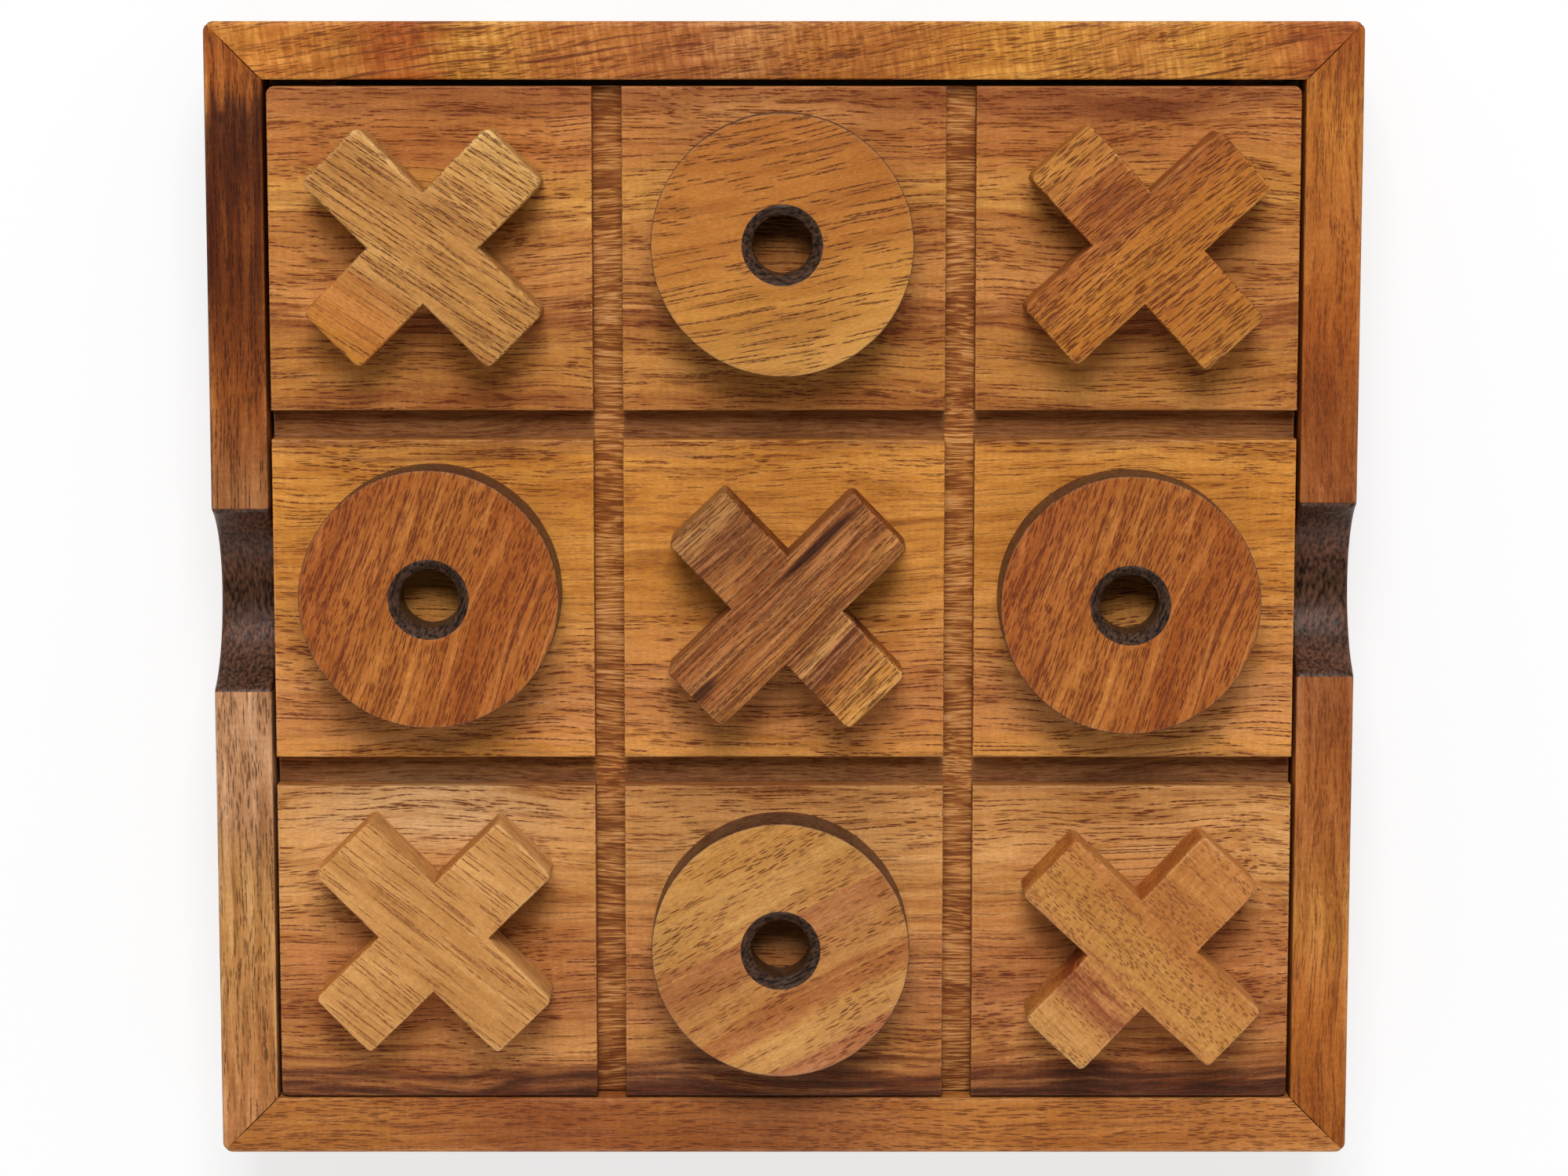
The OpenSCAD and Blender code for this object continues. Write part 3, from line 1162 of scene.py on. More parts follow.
@dataclass
class Board:
    """The playing board: one plank with crossing grooves routed into it, loose in the tray.

    Attributes:
        groove_w: Width of the grooves.
        groove_d: Depth of the grooves.
        ease: Radius of the sanded edges.
        corner: Radius of the four corners, seen from above.
        step: Spacing of points over the squares.
        floor_step: Spacing of points over a groove's floor.
        tear: Depth of the roughness that the router left.
        burn: Painted shade laid as a browning on the groove floors along the grain, back and front.
    """

    groove_w: float = 5.1
    groove_d: float = 4.2
    ease: float = 0.4
    corner: float = 1.4
    step: float = 1.5
    floor_step: float = 0.45
    tear: float = 0.09
    burn: tuple[float, float] = (0.1, 0.36)

    # How torn the wood is where the cutter runs along the fibres, and how pale the edges are,
    # partly as wear and partly as a painted highlight.
    TORN_ALONG, WORN = 0.4, 0.6
    # The tears' sizes across the grain in mm, and how many times longer they are along it.
    TEAR_MM, TEAR_DRAWN, TEAR_SEED = 1.3, 3, 3
    FUZZ_MM, FUZZ_DRAWN, FUZZ_SEED = 0.55, 2, 4
    # How high the fuzz stands beside the tears, and both where the cutter ran along the grain.
    FUZZ_SHARE, SMOOTHER = 0.8, 0.6
    # Width of the flat strip beside a rounded edge, on the face and on the underside.
    FACE_RIM, UNDER_RIM = 0.4, 0.5
    ROUND_STEPS = 4
    # The floor is what lies this near to the grooves' depth in mm, and an edge is paled, as wear
    # and a painted highlight, down to this share of its radius.
    NEAR, WORN_TO = 0.01, 0.9

    def build(self, materials: dict[str, Material]) -> None:
        """Builds and dresses the board.

        Args:
            materials: The finishes by slot.
        """
        at, size = place_of("playing_board")
        width, thick = size[0], size[2]
        lines = self._lines(width, thick)
        blank = Blank("grooved_board")
        points = np.empty((len(lines), len(lines), 3))
        marks = {mark: np.zeros(points.shape[:2]) for mark in Mark}
        half = width / 2
        for r, (y, drop_y, cut_y) in enumerate(lines):
            for c, (x, drop_x, cut_x) in enumerate(lines):
                drop = max(drop_x, drop_y)
                px, py = self._rounded(x, y, half)
                across = cut_x and drop_x >= drop_y
                if (across or cut_y and drop_y >= drop_x) and drop > self.ease:
                    marks[Mark.ROUTED][r, c] = 1.0 if across else self.TORN_ALONG
                    on_floor = drop >= self.groove_d - self.NEAR
                    # The floors of grooves along the grain get painted shade, laid with the scorch
                    # mark's browning.
                    if on_floor and not across:
                        marks[Mark.SCORCHED][r, c] = self._burnt(y, width)
                    if on_floor and abs(x) < half and abs(y) < half:
                        drop -= self.tear * self._torn(px, py, across)
                # Eased edges are paled, partly as wear and partly as a painted highlight.
                if 0 < drop < self.ease * self.WORN_TO:
                    marks[Mark.EASED][r, c] = self.WORN
                points[r, c] = (px, py, thick - drop)
        blank.grid(points, marks)
        self._underside(blank, points)
        seat(blank.finish(at), "board", "board_wood", "playing_board", materials)

    def _lines(self, width: float, thick: float) -> list[tuple[float, float, bool]]:
        """Lists the board's section, which is the same both ways.

        Args:
            width: The board's width.
            thick: Its thickness.

        Returns:
            Place, depth below the face, and whether a groove is there.
        """
        half = width / 2
        pitch = (width + self.groove_w) / 3
        curve = rounding(self.ease, self.ROUND_STEPS)
        walls = [self.ease + (self.groove_d - self.ease) * i / 3 for i in (1, 2, 3)]
        edge = [(-half, thick - self.ease, False), (-half, (thick + self.groove_d) / 2, False)]
        edge += [(-half, d, False) for d in reversed(walls)]
        edge += [(-half + cut, drop, False) for cut, drop in curve]
        edge += [(-half + self.corner * s, 0.0, False) for s in (0.45, 0.62, 0.8, 1.0)]
        made = list(edge)
        floors = int(self.groove_w / self.floor_step)
        for side in (-1, 1):
            middle = side * pitch / 2
            left, right = middle - self.groove_w / 2, middle + self.groove_w / 2
            rim = self.ease + self.FACE_RIM
            made += self._flats(made[-1][0], left - rim)
            made.append((left - rim, 0.0, False))
            made += [(left - cut, drop, True) for cut, drop in reversed(curve)]
            made += [(left, d, True) for d in walls]
            for i in range(1, floors):
                made.append((left + self.groove_w * i / floors, self.groove_d, True))
            made += [(right, d, True) for d in reversed(walls)]
            made += [(right + cut, drop, True) for cut, drop in curve]
            made.append((right + rim, 0.0, False))
        made += self._flats(made[-1][0], half - self.corner)
        made += [(-x, drop, cut) for x, drop, cut in reversed(edge)]
        return made

    def _flats(self, start: float, end: float) -> list[tuple[float, float, bool]]:
        """Lists evenly spaced places on a square's face, without its two ends."""
        count = round((end - start) / self.step)
        return [(start + (end - start) * i / count, 0.0, False) for i in range(1, count)]

    def _rounded(self, x: float, y: float, half: float) -> tuple[float, float]:
        """Moves a point near one of the board's corners onto the corner's round.

        Args:
            x: The point's place.
            y: The point's place.
            half: Half the board's width.

        Returns:
            The new place.
        """
        core = half - self.corner
        if abs(x) <= core or abs(y) <= core:
            return x, y
        u, v = abs(x) - core, abs(y) - core
        pull = max(u, v) / math.hypot(u, v)
        return math.copysign(core + u * pull, x), math.copysign(core + v * pull, y)

    def _burnt(self, y: float, width: float) -> float:
        """Gives the painted shade laid as browning at a place across a groove along the grain."""
        middle = math.copysign((width + self.groove_w) / 6, y)
        return float(np.interp((middle - y) / self.groove_w, (-0.5, 0.5), self.burn))

    def _torn(self, x: float, y: float, across: bool) -> float:
        """Gives the router's roughness, longer along the grain than across it.

        Args:
            x: Place along the grain.
            y: Place across the grain.
            across: Whether the groove runs across the grain, which tears it more.

        Returns:
            A value from about -1 to 1.
        """
        tears = unevenness(x / self.TEAR_DRAWN, y, 0, self.TEAR_SEED, self.TEAR_MM)
        fuzz = unevenness(x / self.FUZZ_DRAWN, y, 5, self.FUZZ_SEED, self.FUZZ_MM)
        return (tears + self.FUZZ_SHARE * fuzz) * (1.0 if across else self.SMOOTHER)

    def _underside(self, blank: Blank, points: np.ndarray) -> None:
        """Rounds the board's lower edge and closes its underside.

        Args:
            blank: The wood.
            points: Rows by columns of the points of the rest, whose rim is the lower edge.
        """
        loop: list[tuple[float, float]] = []
        rim = np.concatenate(
            [points[0, :-1], points[:-1, -1], points[-1, :0:-1], points[:0:-1, 0]]
        )
        for x, y, _ in rim:
            if not loop or math.dist((x, y), loop[-1]) > self.NEAR:
                loop.append((x, y))
        xy = np.array(loop)
        core = np.abs(xy).max() - self.corner
        outward = xy - np.clip(xy, -core, core)
        outward /= np.linalg.norm(outward, axis=1)[:, None]
        rows, worn = [], []
        for cut, drop in rounding(self.ease, self.ROUND_STEPS):
            rows.append(np.column_stack([xy - outward * cut, np.full(len(xy), drop)]))
            worn.append(1.0 if 0 < drop < self.ease else 0.0)
        under = xy - outward * (self.ease + self.UNDER_RIM)
        rows.append(np.column_stack([under, np.zeros(len(xy))]))
        worn.append(0.0)
        eased = np.outer(worn, np.ones(len(xy)))
        made = blank.grid(np.array(rows), {Mark.EASED: eased}, wrap=True)
        blank.cap(list(made[-1][::-1]))


@dataclass(frozen=True)
class Scoop:
    """A finger scoop milled through a rail with a blunt cutter, which chars its floor.

    Attributes:
        depth: Its depth below the rail's top.
        at: How far its middle lies behind the rail's middle, in mm.
        radius: Its radius.
        lip: Radius of the lips where it meets the rail's top.
        chatter: Depth of the waves that the cutter left.
        burns: How burnt the floor is at even steps along it; its dips are painted sheen.
    """

    depth: float
    at: float
    radius: float = 16.5
    lip: float = 1.5
    chatter: float = 0.05
    burns: tuple[float, ...] = (0.88, 0.94, 0.8, 0.74, 0.96, 0.9, 0.76, 0.9, 0.78, 0.82)

    # Stretches of the floor and of a lip, and the length of the cutter's waves in stretches.
    FLOOR_STEPS, LIP_STEPS, WAVE_STEPS = 54, 6, 1.7

    def stations(self) -> list[tuple[float, float, float, float, float]]:
        """Lists points along the scoop's floor.

        Returns:
            Place along the rail from the scoop's middle, depth below the top, the floor's
            outward direction there (along and up), and how burnt it is, dipping for painted sheen.
        """
        centre_up = self.radius - self.depth
        reach = self.radius + self.lip
        lip_x = math.sqrt(reach**2 - (centre_up + self.lip) ** 2)
        steep = math.atan2(lip_x, centre_up + self.lip)
        lips = []
        for i in range(self.LIP_STEPS + 1):
            a = -steep * i / self.LIP_STEPS
            x = -lip_x - self.lip * math.sin(a)
            z = self.lip * (1 - math.cos(a))
            lips.append((x, z, -math.sin(a), math.cos(a), 0.0 if i < 2 else self.burns[0]))
        floor = []
        burn_steps = np.arange(len(self.burns))
        for i in range(1, self.FLOOR_STEPS):
            a = steep * (2 * i / self.FLOOR_STEPS - 1)
            waves = unevenness(i, 0, 0, int(10 * self.depth), self.WAVE_STEPS)
            reach = self.radius + self.chatter * waves
            z = self.depth - self.radius + reach * math.cos(a)
            # The dips in the burn along the floor are painted sheen: paler bands where a reflection
            # lies.
            burnt = np.interp(i * burn_steps[-1] / self.FLOOR_STEPS, burn_steps, self.burns)
            floor.append((reach * math.sin(a), z, -math.sin(a), math.cos(a), float(burnt)))
        far = [(-x, z, -along, up, burnt) for x, z, along, up, burnt in reversed(lips)]
        return lips + floor + far


@dataclass
class Tray:
    """The mitred tray: four rails, a plywood base in their groove and four corner blocks.

    Attributes:
        ease: Radius of the rails' sanded long edges.
        corner: Radius of the tray's upright corners.
        groove_w: Height of the groove for the base.
        groove_d: Depth of that groove.
        mitre_ease: Width of the tiny chamfer that sanding leaves at a mitre.
        scoops: The finger scoops by side.
    """

    ease: float = 0.9
    corner: float = 1.8
    groove_w: float = 4.2
    groove_d: float = 4.0
    mitre_ease: float = 0.12
    scoops: dict[Side, Scoop] = field(
        default_factory=lambda: {
            Side.LEFT: Scoop(depth=11.0, at=-0.6),
            Side.RIGHT: Scoop(depth=9.3, at=1.3),
        }
    )

    # Stretches of a rounded edge, of a plain rail's top, and of the top beside a scoop.
    ROUND_STEPS, PLAIN_STEPS, BESIDE_STEPS = 5, 56, 21
    # Each end of a rail has so many rows for its mitre, which turn by so many degrees.
    MITRE_ROWS, MITRE_TURN = 5, 15
    # Width of the flat strip beside a rounded edge, and how far the evenly spaced rows keep from
    # a mitre and from a scoop.
    FLAT_RIM, MITRE_GAP, SCOOP_GAP = 0.5, 0.5, 0.6
    # How pale the sanded edges are, partly as wear and partly as a painted highlight, by how much
    # that varies, over so many mm, and the least.
    WEAR, WEAR_SPREAD, WEAR_MM, WEAR_LEAST = 0.5, 0.8, 14, 0.1
    # How far a rail's end stays short of the mitre, as a share of the chamfer there.
    MITRE_SHORT = 0.25
    # Corner radii, sanded edges and seeds of the hidden pieces.
    BASE_CORNER, BLOCK_CORNER, HIDDEN_EASE = 0.6, 0.5, 0.25
    BASE_SEED, BLOCK_SEED = 11, 12

    def build(self, materials: dict[str, Material]) -> None:
        """Builds and dresses all of the tray's pieces.

        Args:
            materials: The finishes by slot.
        """
        for side in Side:
            self._rail(side, materials)
        piece = self._hidden("plywood_base", "base_panel", self.BASE_CORNER, self.BASE_SEED)
        seat(piece, "tray", "base_plywood", "base_panel", materials)
        for corner in ("back_left", "front_left", "back_right", "front_right"):
            node = f"block_{corner}"
            seed = self.BLOCK_SEED + len(corner)
            piece = self._hidden(f"corner_{node}", node, self.BLOCK_CORNER, seed)
            seat(piece, "tray", "block_wood", node, materials)

    def _hidden(self, name: str, node: str, corner: float, seed: int) -> bpy.types.Object:
        """Builds a plain slab that only shows when the board is lifted.

        Args:
            name: The piece's name.
            node: The CAD node that it stands for.
            corner: Radius of its upright corners.
            seed: Chooses how uneven its edges are.

        Returns:
            The piece.
        """
        at, size = place_of(node)
        blank = Blank(name)
        outline = Outline.rectangle(size[0], size[1], corner)
        Slab(outline, size[2], self.HIDDEN_EASE, seed).cut(blank)
        return blank.finish(at)

    def _rail(self, side: Side, materials: dict[str, Material]) -> None:
        """Builds one rail, in the place of the back one, and turns it to its side.

        Args:
            side: Which rail it is.
            materials: The finishes by slot.
        """
        word = side.name.lower()
        low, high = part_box("rail_back")
        outer, inner, height = high.y / MM, low.y / MM, high.z / MM
        section = self._section(outer, inner, height)
        stations = self._stations(side, inner, outer)
        points = np.empty((len(stations), len(section), 3))
        burnt = np.zeros(points.shape[:2])
        eased = np.zeros(points.shape[:2])
        for r, (x, drop, along, up, char) in enumerate(stations):
            for c, (y, sunk, rise, top, worn) in enumerate(section):
                px, pz = x, rise
                if top:
                    px, pz = x - along * sunk, height - drop - up * sunk
                    # A scoop's dips in char are painted sheen.
                    burnt[r, c] = char * (1 - (sunk / self.ease) ** 2)
                points[r, c] = (px, y, pz)
                # Eased edges are paled, partly as wear and partly as a painted highlight.
                eased[r, c] = worn * self._wear(px, y, side.value)
        self._mitre(points, outer, height)
        middle = (outer + inner) / 2
        points[:, :, 1] -= middle
        blank = Blank(f"{word}_rail")
        made = blank.grid(points, {Mark.SCORCHED: burnt, Mark.EASED: eased}, wrap=True)
        blank.cap(list(made[0][::-1]))
        blank.cap(list(made[-1]))
        turn = Matrix.Rotation(math.radians(side.value), 3, "Z")
        piece = blank.finish(turn @ Vector((0, middle * MM, 0)), side.value)
        seat(piece, "tray", f"{word}_rail_wood", f"rail_{word}", materials)

    def _wear(self, x: float, y: float, seed: int) -> float:
        """Gives how pale an eased edge is at a point, rubbed and painted highlight, from 0 to 1."""
        spread = self.WEAR_SPREAD * unevenness(x, y, 0, seed, self.WEAR_MM)
        return min(1.0, max(self.WEAR_LEAST, self.WEAR + spread))

    def _section(
        self, outer: float, inner: float, height: float
    ) -> list[tuple[float, float, float, bool, float]]:
        """Lists a rail's section, from the middle of its top round over the outer face.

        Args:
            outer: Distance of the outer face from the tray's middle.
            inner: Distance of the inner face.
            height: Height of the rail.

        Returns:
            For each point: place across, depth under the top's own surface, height above the
            table, whether it belongs to the top, and how eased it is.
        """
        edge = rounding(self.ease, self.ROUND_STEPS)
        worn = [0.0] + [1.0] * (self.ROUND_STEPS - 1) + [0.0]
        flat = self.ease + self.FLAT_RIM
        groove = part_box("base_panel")[0].z / MM
        made = [((outer + inner) / 2, 0.0, height, True, 0.0)]
        made.append((outer - flat, 0.0, height, True, 0.0))
        for (cut, drop), w in zip(reversed(edge), worn):
            made.append((outer - cut, drop, height, True, w))
        for share in (0.6, 0.3):
            made.append((outer, 0.0, height * share, False, 0.0))
        for (cut, drop), w in zip(edge, worn):
            made.append((outer - cut, 0.0, drop, False, w))
        for (cut, drop), w in zip(reversed(edge), worn):
            made.append((inner + cut, 0.0, drop, False, w))
        for y, z in (
            (inner, groove),
            (inner + self.groove_d, groove),
            (inner + self.groove_d, groove + self.groove_w),
            (inner, groove + self.groove_w),
            (inner, height / 2),
        ):
            made.append((y, 0.0, z, False, 0.0))
        for (cut, drop), w in zip(rounding(self.ease / 2, self.ROUND_STEPS), worn):
            made.append((inner + cut, drop, height, True, w))
        made.append((inner + flat, 0.0, height, True, 0.0))
        return made

    def _stations(
        self, side: Side, inner: float, outer: float
    ) -> list[tuple[float, float, float, float, float]]:
        """Lists places along a rail with the depth and slope of its top there.

        Args:
            side: Which rail it is.
            inner: Distance of the inner face from the tray's middle.
            outer: Distance of the outer face.

        Returns:
            What Scoop.stations gives, for the whole rail.
        """
        reach = inner - self.MITRE_GAP
        scoop = self.scoops.get(side)
        flat = (0.0, 0.0, 1.0, 0.0)
        if scoop is None:
            shares = [2 * i / self.PLAIN_STEPS - 1 for i in range(self.PLAIN_STEPS + 1)]
            made = [(reach * share, *flat) for share in shares]
        else:
            middle = scoop.at if side is Side.LEFT else -scoop.at
            cut = [(x + middle, *rest) for x, *rest in scoop.stations()]
            before = np.linspace(-reach, cut[0][0] - self.SCOOP_GAP, self.BESIDE_STEPS + 1)
            after = np.linspace(cut[-1][0] + self.SCOOP_GAP, reach, self.BESIDE_STEPS + 1)
            made = [(float(x), *flat) for x in before] + cut + [(float(x), *flat) for x in after]
        ends = [(outer, *flat)] * self.MITRE_ROWS
        return [(-x, *rest) for x, *rest in ends] + made + ends

    def _mitre(self, points: np.ndarray, outer: float, height: float) -> None:
        """Cuts a rail's ends at 45 degrees, rounds its outer corners and eases the joint.

        Args:
            points: The rail's points, changed in place. The mitres' rows lie past its ends
                until now.
            outer: Distance of the outer face from the tray's middle.
            height: Height of the rail.
        """
        core = outer - self.corner
        ease = self.mitre_ease
        rows = self.MITRE_ROWS
        middle = np.array([points[0, :, 1].mean(), height / 2])
        ends = ((-1, reversed(range(rows))), (1, range(len(points) - rows, len(points))))
        for sign, end in ends:
            # Rows 0 to 3 turn round the corner, row 3 starts the chamfer, and row 4 is the end.
            for k, r in enumerate(end):
                turn = math.radians(self.MITRE_TURN * min(k, 3))
                for c, (_, y, z) in enumerate(points[r].copy()):
                    along = min(y, core)
                    if y > core:
                        bent = y - core
                        along, y = core + bent * math.sin(turn), core + bent * math.cos(turn)
                    if k == 3:
                        along -= ease
                    if k == 4:
                        along -= self.MITRE_SHORT * ease
                        y += float(np.clip(middle[0] - y, -ease, ease))
                        z += float(np.clip(middle[1] - z, -ease, ease))
                    points[r, c] = (sign * along, y, z)


@dataclass(frozen=True)
class Softbox:
    """A square softbox, turned to the object.

    Attributes:
        name: Its lamp's name.
        place: Where it hangs, in metres.
        size: Its side, in metres.
        power: Its power, in watts.
    """

    name: str
    place: tuple[float, float, float]
    size: float
    power: float

    def hang(self) -> None:
        """Hangs the lamp in the scene."""
        lamp = bpy.data.lights.new(self.name, "AREA")
        lamp.shape = "SQUARE"
        lamp.size = self.size
        lamp.energy = self.power
        holder = bpy.data.objects.new(self.name, lamp)
        holder.location = self.place
        holder.rotation_euler = (-Vector(self.place)).to_track_quat("-Z", "Y").to_euler()
        bpy.context.scene.collection.objects.link(holder)


@dataclass
class Studio:
    """A white table in a pale room, with a broad lamp at the back and a weaker one in front.

    Attributes:
        eye: Camera's place in mm.
        tilt: How far the camera looks to the front of straight down, in degrees.
        focal: Distance in pixels from the eye to the picture.
        shift: How far the picture is shifted, in pixels.
        picture_w: Width of the picture, in pixels.
        sensor_w: Width of the camera's sensor, in mm.
        table_half: Half the table's width, in mm.
        table_glow: How much of the table's own white the camera sees; the rest is lit paint.
        overhead: How bright the room is overhead, beside its walls.
        dark_spot: Where the ceiling starts to dim and where it is black, as the sine of the
            height above the horizon, so that nothing mirrors straight back from oiled faces.
        lamps: The softboxes.
    """

    eye: tuple[float, float, float] = (0.0, 97.0, 696.1)
    tilt: float = 7.0
    focal: float = 4892.0
    shift: float = 100.0
    picture_w: float = 2000.0
    sensor_w: float = 36.0
    table_half: float = 4000.0
    table_glow: float = 0.7
    overhead: float = 0.17
    dark_spot: tuple[float, float] = (0.88, 0.97)
    lamps: tuple[Softbox, ...] = (
        Softbox("softbox_back", (0.0, 0.75, 1.0), 0.55, 12.9),
        Softbox("softbox_front", (0.0, -1.15, 0.6), 0.5, 4.0),
    )

    def build(self) -> None:
        """Builds the table, the lamps, the world and the camera."""
        self._table()
        for lamp in self.lamps:
            lamp.hang()
        self._world()
        self._camera()
        log.info("studio: camera %.0f mm above the table", self.eye[2])

    def _table(self) -> None:
        """Builds the table of white matt paint, which keeps the object's shadow."""
        blank = Blank("table")
        ticks = np.linspace(-self.table_half, self.table_half, 9)
        xs, ys = np.meshgrid(ticks, ticks)
        blank.grid(np.stack([xs, ys, np.zeros_like(xs)], axis=2), {})
        table = blank.finish(Vector((0, 0, 0)))
        made = bpy.data.materials.new("matt_white_paint")
        made.use_nodes = True
        tree = made.node_tree
        tree.nodes.clear()
        paint = {"Color": linear("#f4f4f4"), "Roughness": 1.0}
        paint = add(tree, "ShaderNodeBsdfDiffuse", paint)
        glow = add(tree, "ShaderNodeEmission", {"Color": WHITE, "Strength": 1.0})
        share = {0: add(tree, "ShaderNodeLightPath", out="Is Camera Ray"), 1: self.table_glow}
        share = add(tree, "ShaderNodeMath", share, operation="MULTIPLY")
        surface = add(tree, "ShaderNodeMixShader", {0: share, 1: paint, 2: glow})
        output = tree.nodes.new("ShaderNodeOutputMaterial")
        tree.links.new(surface, output.inputs["Surface"])
        table.data.materials.append(made)

    def _world(self) -> None:
        """Fills the room with light from its pale walls, less from overhead, none from the spot."""
        world = bpy.data.worlds.new("pale_room")
        bpy.context.scene.world = world
        world.use_nodes = True
        tree = world.node_tree
        tree.nodes.clear()
        up = {0: add(tree, "ShaderNodeTexCoord", out="Generated"), 1: (0, 0, 1)}
        up = add(tree, "ShaderNodeVectorMath", up, out="Value", operation="DOT_PRODUCT")
        level = {0: up, 1: 0.0, 2: 1.0, 3: 1.0, 4: self.overhead}
        level = add(tree, "ShaderNodeMapRange", level)
        start, end = self.dark_spot
        shade = {0: up, 1: start, 2: end, 3: 1.0, 4: 0.0}
        shade = add(tree, "ShaderNodeMapRange", shade, interpolation_type="SMOOTHSTEP")
        level = add(tree, "ShaderNodeMath", {0: level, 1: shade}, operation="MULTIPLY")
        glow = add(tree, "ShaderNodeBackground", {"Color": WHITE, "Strength": level})
        white = add(tree, "ShaderNodeBackground", {"Color": WHITE, "Strength": 1.0})
        path = add(tree, "ShaderNodeLightPath", out="Is Camera Ray")
        sky = add(tree, "ShaderNodeMixShader", {0: path, 1: glow, 2: white})
        output = tree.nodes.new("ShaderNodeOutputWorld")
        tree.links.new(sky, output.inputs["Surface"])

    def _camera(self) -> None:
        """Sets the camera where the photograph was taken from."""
        lens = bpy.data.cameras.new("camera")
        lens.sensor_width = self.sensor_w
        lens.lens = self.focal / self.picture_w * self.sensor_w
        lens.shift_y = -self.shift / self.picture_w
        lens.clip_start = 0.01
        camera = bpy.data.objects.new("camera", lens)
        camera.location = Vector(self.eye) * MM
        camera.rotation_euler = (math.radians(-self.tilt), 0.0, 0.0)
        bpy.context.scene.collection.objects.link(camera)
        bpy.context.scene.camera = camera


SCORCHED_PIECE = (Mark.EASED, Mark.SCORCHED)

